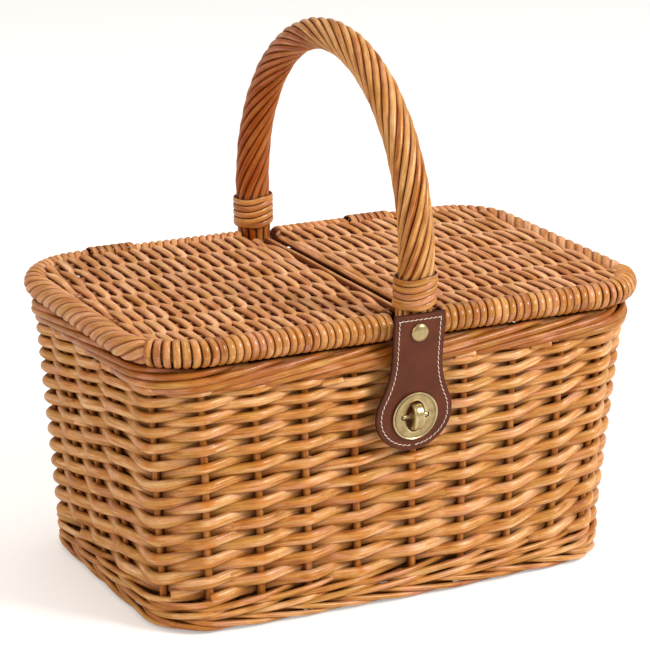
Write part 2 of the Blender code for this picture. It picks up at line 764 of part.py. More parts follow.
def make_tab(tab_axis, knob_axis):
    """The riveted top of the leather tab, its swinging flap, and the turn lock."""
    top = (tab_top_height - tab_bend_height) / math.cos(tab_slope)
    fixed = leather_piece("tab_top", (
        (-tab_neck_half_width, seat_gap), (tab_neck_half_width, seat_gap),
        (tab_top_half_width, top), (-tab_top_half_width, top),
    ))
    hole = plug("rivet_hole_in_tab", rivet_shank_radius + seat_gap, rivet_back + leather_thickness + cut_overrun,
                -cut_overrun, rivet_place)
    apply_boolean(fixed, "DIFFERENCE", hole)

    head = leather_thickness + seat_gap
    profile = []
    for k in range(dome_steps + 1):
        angle = math.pi / 2 * k / dome_steps
        profile.append((rivet_head_radius * math.sin(angle), head + rivet_head_height * math.cos(angle)))
    profile += [(rivet_shank_radius, head), (rivet_shank_radius, rivet_back - rivet_depth),
                (0.0, rivet_back - rivet_depth)]
    turned("tab_rivet", profile, brass, rivet_place)

    drop = tab_disc_drop - tab_neck_drop
    fillet = (drop ** 2 + tab_neck_half_width ** 2 - tab_disc_radius ** 2) / (
        2 * (tab_disc_radius - tab_neck_half_width))
    meet = math.atan2(drop, tab_neck_half_width + fillet)
    half = [(tab_neck_half_width, -seat_gap)]
    for k in range(tab_arc_steps + 1):
        angle = meet * k / tab_arc_steps
        half.append((tab_neck_half_width + fillet * (1 - math.cos(angle)), -tab_neck_drop - fillet * math.sin(angle)))
    for k in range(1, tab_arc_steps + 1):
        angle = meet - (meet + math.pi / 2) * k / tab_arc_steps
        half.append((tab_disc_radius * math.cos(angle), -tab_disc_drop + tab_disc_radius * math.sin(angle)))
    flap = leather_piece("tab_flap", half + [(-x, y) for x, y in reversed(half[:-1])])
    lock = tab_frame(lock_drop)
    hole = plug("lock_hole_in_leather", leather_hole_radius, leather_thickness + cut_overrun, -cut_overrun, lock)
    apply_boolean(flap, "DIFFERENCE", hole)

    rim_front = plate_front + plate_rim_height
    plate = turned("lock_plate", (
        (0.0, plate_front), (plate_radius - plate_rim_width, plate_front),
        (plate_radius - plate_rim_width * 2 / 3, rim_front), (plate_radius - plate_rim_width / 3, rim_front),
        (plate_radius, plate_front), (plate_radius, plate_back), (0.0, plate_back),
    ), brass, lock)
    depths = (plate_back - cut_overrun, rim_front + cut_overrun)
    slot = loft("slot_in_plate", [
        [Vector((x, y, z)) for x, y in oval(slot_half_width, slot_half_height)] for z in depths
    ], None, lock)
    apply_boolean(plate, "DIFFERENCE", slot)
    notch = box("notch_in_plate", (-notch_half_width, -notch_half_height, depths[0]),
                (notch_half_width, notch_half_height, depths[1]), lock)
    apply_boolean(plate, "DIFFERENCE", notch)

    base_front = -seat_gap
    base = turned("lock_base", (
        (0.0, base_front), (lock_base_radius, base_front),
        (lock_base_radius, base_front - lock_base_thickness), (0.0, base_front - lock_base_thickness),
    ), brass, lock)
    bar_front = plate_front + bar_proud
    bar = box("bar_on_base", (-bar_half_width, -bar_half_height, base_front - overlap_depth),
              (bar_half_width, bar_half_height, bar_front), lock)
    apply_boolean(base, "UNION", bar)
    boss_radius = stem_radius + 2 * seat_gap + bar_half_height
    boss = plug("boss_on_base", boss_radius, bar_front - seat_gap, base_front - overlap_depth, lock)
    apply_boolean(base, "UNION", boss)
    bore = plug("stem_hole_in_base", stem_radius + seat_gap, bar_front + cut_overrun, base_front + seat_gap, lock)
    apply_boolean(base, "DIFFERENCE", bore)

    rings = []
    for x, inset in ((-knob_half_width, knob_round), (-knob_half_width + knob_round, 0.0),
                     (knob_half_width - knob_round, 0.0), (knob_half_width, knob_round)):
        ring = []
        for k in range(knob_steps + 1):
            angle = math.pi * k / knob_steps
            ring.append(Vector((x, (knob_half_height - inset) * math.cos(angle),
                                knob_back + (knob_depth - inset) * math.sin(angle))))
        rings.append(ring)
    knob = loft("turn_knob", rings, brass, lock)
    stem = plug("stem_on_knob", stem_radius, knob_back + overlap_depth, base_front + 2 * seat_gap, lock)
    apply_boolean(knob, "UNION", stem)

    for piece in (flap, plate):
        attach(piece, tab_axis)
    attach(knob, knob_axis)


for leftover in list(bpy.data.objects):
    bpy.data.objects.remove(leftover, do_unlink=True)
parts = new_collection("pie_basket")
cutters = new_collection("cutters")
willow = new_material("willow", (0.56, 0.33, 0.13), 0.55)
lid_willow = new_material("lid_willow", (0.60, 0.38, 0.22), 0.62)
cane = new_material("cane", (0.62, 0.33, 0.10), 0.32)
leather = new_material("leather", (0.16, 0.050, 0.031), 0.55)
brass = new_material("brass", (0.45, 0.37, 0.15), 0.30, 1.0)

# The rivet stands on the leather's frame, and its shank runs from the back of the leather to the handle's foot.
rivet_place = tab_frame(-rivet_rise / math.cos(tab_slope))
rivet_back = 0.0

lid_axis_place = Matrix.Translation((0.0, rim_half_depth, rim_height))
left_lid_axis = new_axis("left_lid_axis", lid_axis_place)
right_lid_axis = new_axis("right_lid_axis", lid_axis_place)
tab_axis = new_axis("tab_axis", tab_frame(0.0) @ Matrix.Translation((0.0, 0.0, leather_thickness)))
knob_axis = new_axis("knob_axis", tab_frame(lock_drop))
make_body()
make_handle()
make_hinge("left", left_hinge_x)
make_hinge("right", right_hinge_x)
make_lid(-1, left_lid_axis)
make_lid(1, right_lid_axis)
make_tab(tab_axis, knob_axis)
for piece in parts.objects:
    if piece.type == "MESH":
        piece.data.shade_smooth()
        piece.data.set_sharp_from_angle(angle=math.radians(40))
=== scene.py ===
import math

import bpy
import numpy as np
from mathutils import Matrix, Vector


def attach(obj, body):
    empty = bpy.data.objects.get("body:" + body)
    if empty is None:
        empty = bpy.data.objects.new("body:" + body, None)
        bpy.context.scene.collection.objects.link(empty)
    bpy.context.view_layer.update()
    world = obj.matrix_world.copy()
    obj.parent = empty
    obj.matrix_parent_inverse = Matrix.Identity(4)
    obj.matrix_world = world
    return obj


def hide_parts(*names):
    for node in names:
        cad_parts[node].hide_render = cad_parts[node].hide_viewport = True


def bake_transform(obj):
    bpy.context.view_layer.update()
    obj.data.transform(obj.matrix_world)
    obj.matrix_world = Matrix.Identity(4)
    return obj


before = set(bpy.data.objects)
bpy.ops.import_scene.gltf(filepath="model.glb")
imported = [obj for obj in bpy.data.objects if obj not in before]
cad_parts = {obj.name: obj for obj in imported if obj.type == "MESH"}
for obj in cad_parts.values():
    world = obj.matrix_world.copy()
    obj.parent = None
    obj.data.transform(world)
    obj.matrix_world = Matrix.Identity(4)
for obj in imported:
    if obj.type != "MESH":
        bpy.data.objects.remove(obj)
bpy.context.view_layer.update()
scene = bpy.context.scene
rng = np.random.default_rng(7)
print("frame loaded")

# The camera stands where the photograph was taken from.
view = {
    "azimuth": -27.452,
    "elevation": 17.1165,
    "roll": 0.5154,
    "distance": 2.0,
    "aim": -0.0028,
    "aimHeight": 0.1738,
    "lens": 149.54,
}


def placeCamera():
    turn, rise, roll = (math.radians(view[key]) for key in ("azimuth", "elevation", "roll"))
    back = Vector((math.sin(turn) * math.cos(rise), -math.cos(turn) * math.cos(rise), math.sin(rise)))
    right = Vector((math.cos(turn), math.sin(turn), 0))
    up = back.cross(right)
    level = right.copy()
    right = math.cos(roll) * level + math.sin(roll) * up
    up = math.cos(roll) * up - math.sin(roll) * level
    spot = Vector((0, 0, view["aimHeight"])) + view["aim"] * level + view["distance"] * back
    data = bpy.data.cameras.new("photoCamera")
    data.lens = view["lens"]
    data.sensor_width = 36
    camera = bpy.data.objects.new("photoCamera", data)
    scene.collection.objects.link(camera)
    camera.matrix_world = Matrix.Translation(spot) @ Matrix((right, up, back)).transposed().to_4x4()
    scene.camera = camera


placeCamera()

# Small tools for points on a line, used by every piece that is laid from rods


def unit(vectors):
    return vectors / np.maximum(np.linalg.norm(vectors, axis=-1, keepdims=True), 1e-12)


def smooth(low, high, value):
    t = np.clip((value - low) / (high - low), 0, 1)
    return t * t * (3 - 2 * t)


def newBundle():
    return {"points": [], "quads": [], "tris": [], "spot": [], "tone": [], "bend": [], "deep": [], "count": 0}


def addPart(bundle, points, quads, tris, spot, tone, bend, deep):
    base = bundle["count"]
    bundle["points"].append(points)
    if len(quads):
        bundle["quads"].append(np.asarray(quads) + base)
    if len(tris):
        bundle["tris"].append(np.asarray(tris) + base)
    bundle["spot"].append(spot)
    bundle["tone"].append(np.broadcast_to(tone, len(points)))
    bundle["bend"].append(np.broadcast_to(bend, len(points)))
    bundle["deep"].append(np.broadcast_to(deep, len(points)))
    bundle["count"] += len(points)


def layRod(bundle, path, outward, halfOut, halfSide, sides=8, closed=False, ends="rr",
           tone=0.5, bend=0.0, deep=0.0, cut=(0.0, 0.0), square=0.0, groove=0.6):
    # One rod swept along a path. Ends are r for round, c for cut and o for open.
    path = np.asarray(path, float)
    count = len(path)
    if closed:
        along = unit(np.roll(path, -1, 0) - np.roll(path, 1, 0))
    else:
        along = unit(np.gradient(path, axis=0))
    out = np.broadcast_to(np.asarray(outward, float), path.shape)
    out = unit(out - np.sum(out * along, 1, keepdims=True) * along)
    side = np.cross(along, out)
    halfOut = np.broadcast_to(halfOut, count)[:, None]
    halfSide = np.broadcast_to(halfSide, count)[:, None]
    angle = 2 * math.pi * np.arange(sides) / sides
    c, s = np.cos(angle), np.sin(angle)
    if square:
        power = 1 - square
        c = np.sign(c) * np.abs(c) ** power
        s = np.sign(s) * np.abs(s) ** power
    rings = path[:, None] + out[:, None] * (halfOut * c)[..., None] + side[:, None] * (halfSide * s)[..., None]
    step = np.linalg.norm(np.diff(path, axis=0), axis=1)
    run = np.concatenate([[0], np.cumsum(step)])
    offset = rng.uniform(0, 40, 3)
    spot = np.stack([
        np.broadcast_to(run[:, None], (count, sides)) + offset[0],
        halfOut * c + offset[1], halfSide * s + offset[2]], 2)
    toneAll = np.broadcast_to(np.broadcast_to(tone, count)[:, None], (count, sides)).copy()
    bendAll = np.broadcast_to(np.broadcast_to(bend, count)[:, None], (count, sides)).copy()
    # In the rod materials this is painted shade: deep darkens the whole section where the rod lies back or under
    # others, and groove darkens the sides of the section that turn inwards, where rods crowd together. The brass reads
    # the same mask as tarnish in hollows.
    deepAll = np.broadcast_to(deep, count)[:, None] + groove * (1 - smooth(0.05, 0.88, c[None]))
    points, spots = rings.reshape(-1, 3), spot.reshape(-1, 3)
    toneAll, bendAll, deepAll = toneAll.ravel(), bendAll.ravel(), np.clip(deepAll, 0, 1).ravel()
    j = np.arange(sides)
    last = count if closed else count - 1
    i = np.arange(last)[:, None]
    a, b = i * sides + j, i * sides + (j + 1) % sides
    c2, d = ((i + 1) % count) * sides + (j + 1) % sides, ((i + 1) % count) * sides + j
    quads = np.stack([a, b, c2, d], 2).reshape(-1, 4)
    tris = []
    if not closed:
        extraPoints, extraSpots, extraTone, extraBend, extraDeep = [], [], [], [], []
        total = len(points)
        for which, kind in ((0, ends[0]), (1, ends[1])):
            if kind == "o":
                continue
            row = 0 if which == 0 else count - 1
            way = -along[row] if which == 0 else along[row]
            radius = float(min(halfOut[row, 0], halfSide[row, 0]))
            steps = ((0.0, 0.45, 0.9), (0.62, 0.88, 0.55)) if kind == "r" else ((1.0, 0.10, 0.90),)
            levels = ((0.90, 0.45), (0.55, 0.85)) if kind == "r" else ((0.88, 0.12),)
            peak = 1.0 if kind == "r" else 0.14
            previous = row * sides
            slant = np.zeros(sides) if kind == "r" else cut[which] * c * radius
            if kind == "c" and cut[which]:
                points[previous:previous + sides] += way * slant[:, None]
            for scale, push in levels:
                ring = path[row] + (rings[row] - path[row]) * scale + way * (push * radius + slant * scale)[:, None]
                start = total + len(extraPoints) * 1
                extraPoints.extend(ring)
                extraSpots.extend(spot[row])
                extraTone.extend([toneAll[row * sides]] * sides)
                extraBend.extend([0.0] * sides)
                extraDeep.extend(deepAll[row * sides:(row + 1) * sides])
                q = np.stack([previous + j, previous + (j + 1) % sides,
                              start + (j + 1) % sides, start + j], 1)
                quads = np.concatenate([quads, q if which else q[:, ::-1]])
                previous = start
            tip = total + len(extraPoints)
            extraPoints.append(path[row] + way * peak * radius)
            extraSpots.append(spot[row].mean(0))
            extraTone.append(toneAll[row * sides])
            extraBend.append(0.0)
            extraDeep.append(float(np.mean(deepAll[row * sides:(row + 1) * sides])))
            t = np.stack([previous + j, previous + (j + 1) % sides, np.full(sides, tip)], 1)
            tris.append(t if which else t[:, ::-1])
        if extraPoints:
            points = np.concatenate([points, extraPoints])
            spots = np.concatenate([spots, extraSpots])
            toneAll = np.concatenate([toneAll, extraTone])
            bendAll = np.concatenate([bendAll, extraBend])
            deepAll = np.concatenate([deepAll, extraDeep])
    tris = np.concatenate(tris) if tris else np.zeros((0, 3), int)
    # The section runs the wrong way round for faces that look out, so each face is turned.
    addPart(bundle, points, quads[:, ::-1], tris[:, ::-1], spots, toneAll, bendAll, deepAll)


def buildMesh(name, points, quads, tris):
    mesh = bpy.data.meshes.new(name)
    mesh.vertices.add(len(points))
    mesh.vertices.foreach_set("co", np.asarray(points, np.float32).ravel())
    loops = np.concatenate([np.asarray(quads, np.int32).ravel(), np.asarray(tris, np.int32).ravel()])
    starts = np.concatenate([np.arange(len(quads)) * 4, len(quads) * 4 + np.arange(len(tris)) * 3])
    mesh.loops.add(len(loops))
    mesh.loops.foreach_set("vertex_index", loops.astype(np.int32))
    mesh.polygons.add(len(starts))
    mesh.polygons.foreach_set("loop_start", starts.astype(np.int32))
    mesh.update(calc_edges=True)
    mesh.validate()
    mesh.shade_smooth()
    return mesh


def finishPiece(bundle, name, material, body, nodes=(), sharp=None):
    points = np.concatenate(bundle["points"])
    quads = np.concatenate(bundle["quads"]) if bundle["quads"] else np.zeros((0, 4), int)
    tris = np.concatenate(bundle["tris"]) if bundle["tris"] else np.zeros((0, 3), int)
    mesh = buildMesh(name, points, quads, tris)
    if sharp:
        mesh.set_sharp_from_angle(angle=math.radians(sharp))
    attribute = mesh.attributes.new("rodSpot", "FLOAT_VECTOR", "POINT")
    attribute.data.foreach_set("vector", np.concatenate(bundle["spot"]).astype(np.float32).ravel())
    for word, key in (("rodTone", "tone"), ("rodBend", "bend"), ("rodDeep", "deep")):
        attribute = mesh.attributes.new(word, "FLOAT", "POINT")
        attribute.data.foreach_set("value", np.concatenate(bundle[key]).astype(np.float32))
    piece = bpy.data.objects.new(name, mesh)
    scene.collection.objects.link(piece)
    mesh.materials.append(material)
    if body:
        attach(piece, body)
    if nodes:
        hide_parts(*nodes)
    print(f"{name}: {2 * len(quads) + len(tris)} triangles")
    return piece


# Shader node groups


class Graph:
    def __init__(self, tree):
        self.tree = tree
        self.column = 0

    def node(self, kind, inputs=None, **settings):
        made = self.tree.nodes.new(kind)
        made.location = (self.column * 180, -(self.column % 5) * 160)
        self.column += 1
        for key, value in settings.items():
            setattr(made, key, value)
        for key, value in (inputs or {}).items():
            socket = made.inputs[key]
            if isinstance(value, bpy.types.NodeSocket):
                self.tree.links.new(value, socket)
            else:
                socket.default_value = value
        return made

    def math(self, operation, a, b=0.5, c=0.5, clamp=False):
        return self.node("ShaderNodeMath", {0: a, 1: b, 2: c}, operation=operation, use_clamp=clamp).outputs[0]

    def mix(self, factor, a, b, blend="MIX"):
        made = self.node("ShaderNodeMix", data_type="RGBA", blend_type=blend, clamp_factor=True)
        for index, value in ((0, factor), (6, a), (7, b)):
            if isinstance(value, bpy.types.NodeSocket):
                self.tree.links.new(value, made.inputs[index])
            else:
                made.inputs[index].default_value = value
        return made.outputs[2]

    def span(self, value, low, high, toLow=0.0, toHigh=1.0):
        return self.node("ShaderNodeMapRange", {0: value, 1: low, 2: high, 3: toLow, 4: toHigh}).outputs[0]

    def noise(self, spot, scale, detail=2.0, rough=0.5):
        return self.node("ShaderNodeTexNoise", {"Vector": spot, "Scale": scale, "Detail": detail,
                                                "Roughness": rough}).outputs["Fac"]

    def stretched(self, spot, scale):
        return self.node("ShaderNodeMapping", {"Vector": spot, "Scale": scale}).outputs[0]


def newGroup(name, inputs, outputs):
    tree = bpy.data.node_groups.new(name, "ShaderNodeTree")
    for word, kind, value in inputs:
        socket = tree.interface.new_socket(name=word, in_out="INPUT", socket_type=kind)
        if value is not None:
            socket.default_value = value
    for word, kind in outputs:
        tree.interface.new_socket(name=word, in_out="OUTPUT", socket_type=kind)
    graph = Graph(tree)
    start = tree.nodes.new("NodeGroupInput")
    end = tree.nodes.new("NodeGroupOutput")
    return tree, graph, start.outputs, end.inputs


def shade(red, green, blue):
    # A colour as a paint chart gives it, turned to the linear value that the shader takes.
    values = [((v / 255 + 0.055) / 1.055) ** 2.4 if v > 10 else v / 255 / 12.92 for v in (red, green, blue)]
    return (*values, 1.0)


def makeRodGrainAndShade():
    # Colour, roughness and height of a peeled rod, with painted shade darkening its creases and recesses. Rod Spot is
    # metres along it and across its section.
    colour, value = "NodeSocketColor", "NodeSocketFloat"
    tree, g, given, out = newGroup("rodGrainAndPaintedShade", (
        ("Rod Spot", "NodeSocketVector", None), ("Tone", value, 0.5), ("Bend", value, 0.0), ("Painted Shade", value, 0.0),
        ("Pale", colour, shade(226, 174, 116)), ("Middle", colour, shade(203, 141, 80)),
        ("Dark", colour, shade(168, 100, 46)), ("Bend Colour", colour, shade(205, 120, 40)),
        ("Pink", colour, shade(222, 154, 120)), ("Olive", colour, shade(192, 142, 56)), ("Patches", value, 1.0),
        ("Painted Shade And Speck Colour", colour, shade(88, 42, 22)), ("Painted Shade Strength", value, 0.8),
        ("Streak", value, 0.5), ("Specks", value, 0.5), ("Shine", value, 0.3),
    ), (("Colour", colour), ("Roughness", value), ("Coat", value), ("Height", value)))
    fibre = g.noise(g.stretched(given["Rod Spot"], (45, 1500, 1500)), 1.0, 3.0, 0.6)
    streak = g.noise(g.stretched(given["Rod Spot"], (22, 420, 420)), 1.0, 2.0, 0.5)
    blotch = g.noise(g.stretched(given["Rod Spot"], (60, 150, 150)), 1.0, 3.0, 0.55)
    hue = g.noise(g.stretched(given["Rod Spot"], (34, 130, 130)), 1.0, 2.0, 0.5)
    speck = g.noise(g.stretched(given["Rod Spot"], (420, 1300, 1300)), 1.0, 1.0, 0.5)
    light = g.math("ADD", g.math("MULTIPLY", g.span(blotch, 0.32, 0.68), 0.5),
                   g.math("MULTIPLY", given["Tone"], 0.62))
    light = g.math("ADD", light, g.math("MULTIPLY", g.span(streak, 0.34, 0.66, -0.28, 0.28), given["Streak"]))
    light = g.math("SUBTRACT", light, 0.06)
    low = g.mix(g.span(light, 0.0, 0.5), given["Dark"], given["Middle"])
    tint = g.mix(g.span(light, 0.5, 1.0), low, given["Pale"])
    pink = g.math("MULTIPLY", g.span(hue, 0.53, 0.68, 0.0, 0.55), given["Patches"])
    olive = g.math("MULTIPLY", g.span(hue, 0.47, 0.33, 0.0, 0.50), given["Patches"])
    tint = g.mix(pink, g.mix(olive, tint, given["Olive"]), given["Pink"])
    fine = g.span(fibre, 0.34, 0.66, 0.76, 1.18)
    tint = g.mix(1.0, tint, fine, "MULTIPLY")
    orange = g.math("MULTIPLY", given["Bend"], g.span(streak, 0.25, 0.6, 0.45, 1.0))
    tint = g.mix(orange, tint, given["Bend Colour"])
    marks = g.math("MULTIPLY", g.span(speck, 0.70, 0.78), given["Specks"])
    tint = g.mix(marks, tint, given["Painted Shade And Speck Colour"])
    # Painted shade: the shade mask from the mesh darkens creases, rods lying under others and dark cores towards a dark
    # brown.
    shadow = g.math("MULTIPLY", g.math("POWER", given["Painted Shade"], 1.5), given["Painted Shade Strength"])
    tint = g.mix(shadow, tint, given["Painted Shade And Speck Colour"])
    tree.links.new(tint, out["Colour"])
    tree.links.new(g.math("ADD", g.span(fibre, 0.3, 0.7, 0.34, 0.5), g.math("MULTIPLY", given["Painted Shade"], 0.25)),
                   out["Roughness"])
    # Painted shade also takes the coat away, so shaded places show no sheen.
    tree.links.new(g.math("MULTIPLY", given["Shine"], g.span(given["Painted Shade"], 0.05, 0.7, 1.0, 0.0)), out["Coat"])
    tree.links.new(g.math("ADD", g.math("MULTIPLY", fibre, 0.5), g.math("MULTIPLY", streak, 0.8)), out["Height"])
    return tree


rodGrainAndPaintedShade = makeRodGrainAndShade()


def newMaterial(name, **values):
    material = bpy.data.materials.new(name)
    material.use_nodes = True
    material.node_tree.nodes.clear()
    g = Graph(material.node_tree)
    shader = g.node("ShaderNodeBsdfPrincipled")
    end = g.node("ShaderNodeOutputMaterial")
    material.node_tree.links.new(shader.outputs[0], end.inputs[0])
    for key, value in values.items():
        shader.inputs[key].default_value = value
    return material, g, shader


def makeRodMaterial(name, finish):
    material, g, shader = newMaterial(name)
    shader.inputs["Coat Roughness"].default_value = finish["coatRoughness"]
    shader.inputs["Specular IOR Level"].default_value = finish["gloss"]
    fed = {"Rod Spot": g.node("ShaderNodeAttribute", attribute_name="rodSpot").outputs["Vector"]}
    for word, attribute in (("Tone", "rodTone"), ("Bend", "rodBend"), ("Painted Shade", "rodDeep")):
        fed[word] = g.node("ShaderNodeAttribute", attribute_name=attribute).outputs["Fac"]
    for word, value in finish["grain"].items():
        fed[word] = value
    fed["Shine"] = finish["coat"]
    grain = g.node("ShaderNodeGroup", node_tree=rodGrainAndPaintedShade)
    for word, value in fed.items():
        if isinstance(value, bpy.types.NodeSocket):
            material.node_tree.links.new(value, grain.inputs[word])
        else:
            grain.inputs[word].default_value = value
    bump = g.node("ShaderNodeBump", {"Height": grain.outputs["Height"], "Strength": finish["bump"],
                                     "Distance": 0.0004})
    material.node_tree.links.new(grain.outputs["Colour"], shader.inputs["Base Color"])
    material.node_tree.links.new(grain.outputs["Roughness"], shader.inputs["Roughness"])
    material.node_tree.links.new(grain.outputs["Coat"], shader.inputs["Coat Weight"])
    material.node_tree.links.new(bump.outputs[0], shader.inputs["Normal"])
    return material


# Each rod material's darkest colour and its strength set the painted shade in creases and recesses; the same colour
# marks the small specks.
willow = makeRodMaterial("willow", {
    "coat": 0.32, "coatRoughness": 0.18, "gloss": 0.22, "bump": 0.5,
    "grain": {"Pale": shade(246, 194, 138), "Middle": shade(214, 146, 70), "Dark": shade(170, 94, 26),
              "Bend Colour": shade(206, 118, 30), "Painted Shade And Speck Colour": shade(82, 26, 0), "Painted Shade Strength": 0.92,
              "Streak": 0.95, "Specks": 0.5},
})
lidWillow = makeRodMaterial("lidWillow", {
    "coat": 0.14, "coatRoughness": 0.28, "gloss": 0.2, "bump": 0.6,
    "grain": {"Pale": shade(252, 198, 150), "Middle": shade(224, 158, 104), "Dark": shade(184, 112, 52),
              "Bend Colour": shade(222, 150, 60), "Painted Shade And Speck Colour": shade(100, 36, 0), "Painted Shade Strength": 0.92,
              "Streak": 0.95, "Specks": 0.4},
})
handleWillow = makeRodMaterial("handleWillow", {
    "coat": 0.36, "coatRoughness": 0.16, "gloss": 0.2, "bump": 0.4,
    "grain": {"Pale": shade(242, 186, 124), "Middle": shade(208, 142, 70), "Dark": shade(158, 70, 2), "Patches": 0.45,
              "Bend Colour": shade(170, 76, 2), "Painted Shade And Speck Colour": shade(84, 24, 0), "Painted Shade Strength": 0.95,
              "Streak": 0.95, "Specks": 0.5},
})
cane = makeRodMaterial("cane", {
    "coat": 0.55, "coatRoughness": 0.18, "gloss": 0.25, "bump": 0.35,
    "grain": {"Pale": shade(222, 158, 88), "Middle": shade(196, 124, 52), "Dark": shade(158, 82, 22),
              "Bend Colour": shade(196, 104, 24), "Painted Shade And Speck Colour": shade(70, 20, 0), "Painted Shade Strength": 0.95,
              "Streak": 0.9, "Specks": 0.55},
})
print("rod materials made")

# The body. Its outer face is a rounded rectangle that flares upwards and bows out a little low down.
wall = {
    "height": 0.1985,
    "baseHalfWidth": 0.1832,
    "sideFlare": 0.0143,
    "baseHalfDepth": 0.1135,
    "frontFlare": 0.0153,
    "baseCorner": 0.040,
    "cornerGrowth": 0.008,
    "bow": 0.0065,
}


def onWall(share, height, out):
    # Points and outward normals at shares of the way round, from the middle of the front towards +X.
    share, height, out = np.broadcast_arrays(*(np.asarray(v, float) for v in (share, height, out)))
    s = height / wall["height"]
    halfX = wall["baseHalfWidth"] + s * wall["sideFlare"]
    halfY = wall["baseHalfDepth"] + s * wall["frontFlare"]
    corner = wall["baseCorner"] + s * wall["cornerGrowth"]
    runX, runY, quarter = halfX - corner, halfY - corner, math.pi / 2 * corner
    left = (share % 1.0) * (4 * runX + 4 * runY + 4 * quarter)
    x, y, facing = np.zeros_like(s), -halfY.copy(), np.zeros_like(s)
    for index, length in enumerate((runX, quarter, 2 * runY, quarter, 2 * runX, quarter, 2 * runY, quarter, runX)):
        along = np.clip(left, 0, length)
        if index % 2:
            after = facing + along / corner
            x = x + corner * (np.sin(after) - np.sin(facing))
            y = y + corner * (np.cos(facing) - np.cos(after))
            facing = after
        else:
            x = x + along * np.cos(facing)
            y = y + along * np.sin(facing)
        left = left - along
    normal = np.stack([np.sin(facing), -np.cos(facing), np.zeros_like(s)], -1)
    bow = wall["bow"] * (1 - s) * normal[..., 1] ** 2 * np.cos(np.clip(math.pi / 2 * x / halfX, -1.57, 1.57))
    point = np.stack([x, y, height], -1) + normal * out[..., None]
    point[..., 1] += np.sign(normal[..., 1]) * bow
    return point, normal


# Each stake that shows: its share of the way round, how far its rows have slipped, in rows, its lean,
# and how tightly its rows lie.
seenStakes = (
    (-0.3290, 0.80, 0, 0.88), (-0.2910, 0.62, 0, 0.90), (-0.2560, 0.41, 0, 0.93), (-0.2180, 0.35, 0, 0.97),
    (-0.1680, 0.07, 0, 0.99), (-0.1328, 0.28, 0, 1), (-0.0981, 0.00, 0.0008, 1), (-0.0665, -0.30, 0.0016, 1),
    (-0.0335, -0.58, 0.0025, 1), (0.0052, -0.90, 0.0026, 1), (0.0406, -1.27, 0.0032, 1),
    (0.0746, -1.52, 0.0046, 1), (0.1083, -1.47, 0.0046, 1), (0.1371, -1.35, 0.0039, 1),
)
hidden = {"shares": (0.168, 0.218, 0.256, 0.291, 0.329), "backStep": 0.0342, "backCount": 9, "slip": -0.257,
          "tightStep": 0.0085}
slipPerTurn = 6
middleRow = 4.8


def allStakes():
    shares = list(hidden["shares"])
    shares += [shares[-1] + hidden["backStep"] * (k + 1) for k in range(hidden["backCount"])]
    last = seenStakes[-1][1]
    return list(seenStakes) + [(share, last + hidden["slip"] * (k + 1), 0, 1 - hidden["tightStep"] * k)
                               for k, share in enumerate(shares)]


stakes = allStakes()
stakeCount = len(stakes)
sideRows = {
    "levels": (21.5, 35.8, 50.8, 65.3, 79.7, 93.8, 107.5, 122.3, 136.0, 148.3, 159.5, 170.0, 180.0, 189.5),
    "firstRow": -1,
    "lowest": 0.0250,
    "highest": 0.1845,
    "stakeOut": -0.0069,
    "swing": 0.0050,
    "stakeRadius": 0.0030,
    "butt": (0.0031, 0.0043),
    "tip": (0.0028, 0.0034),
    "steps": 8,
}


cutEnds = ((-0.0460, 0.1772), (0.0410, 0.1826), (0.0930, 0.1808), (-0.2250, 0.1788))


def stakeAt(index):
    turns, k = divmod(index, stakeCount)
    share, slip, lean, tight = stakes[k]
    return share + turns, slip - slipPerTurn * turns, lean, tight


def leaning(share, lean, height):
    return share + lean * (0.105 - height) / 0.075


def rowHeight(row):
    levels = np.array(sideRows["levels"]) / 1000
    return np.interp(row, np.arange(len(levels)) + sideRows["firstRow"], levels)


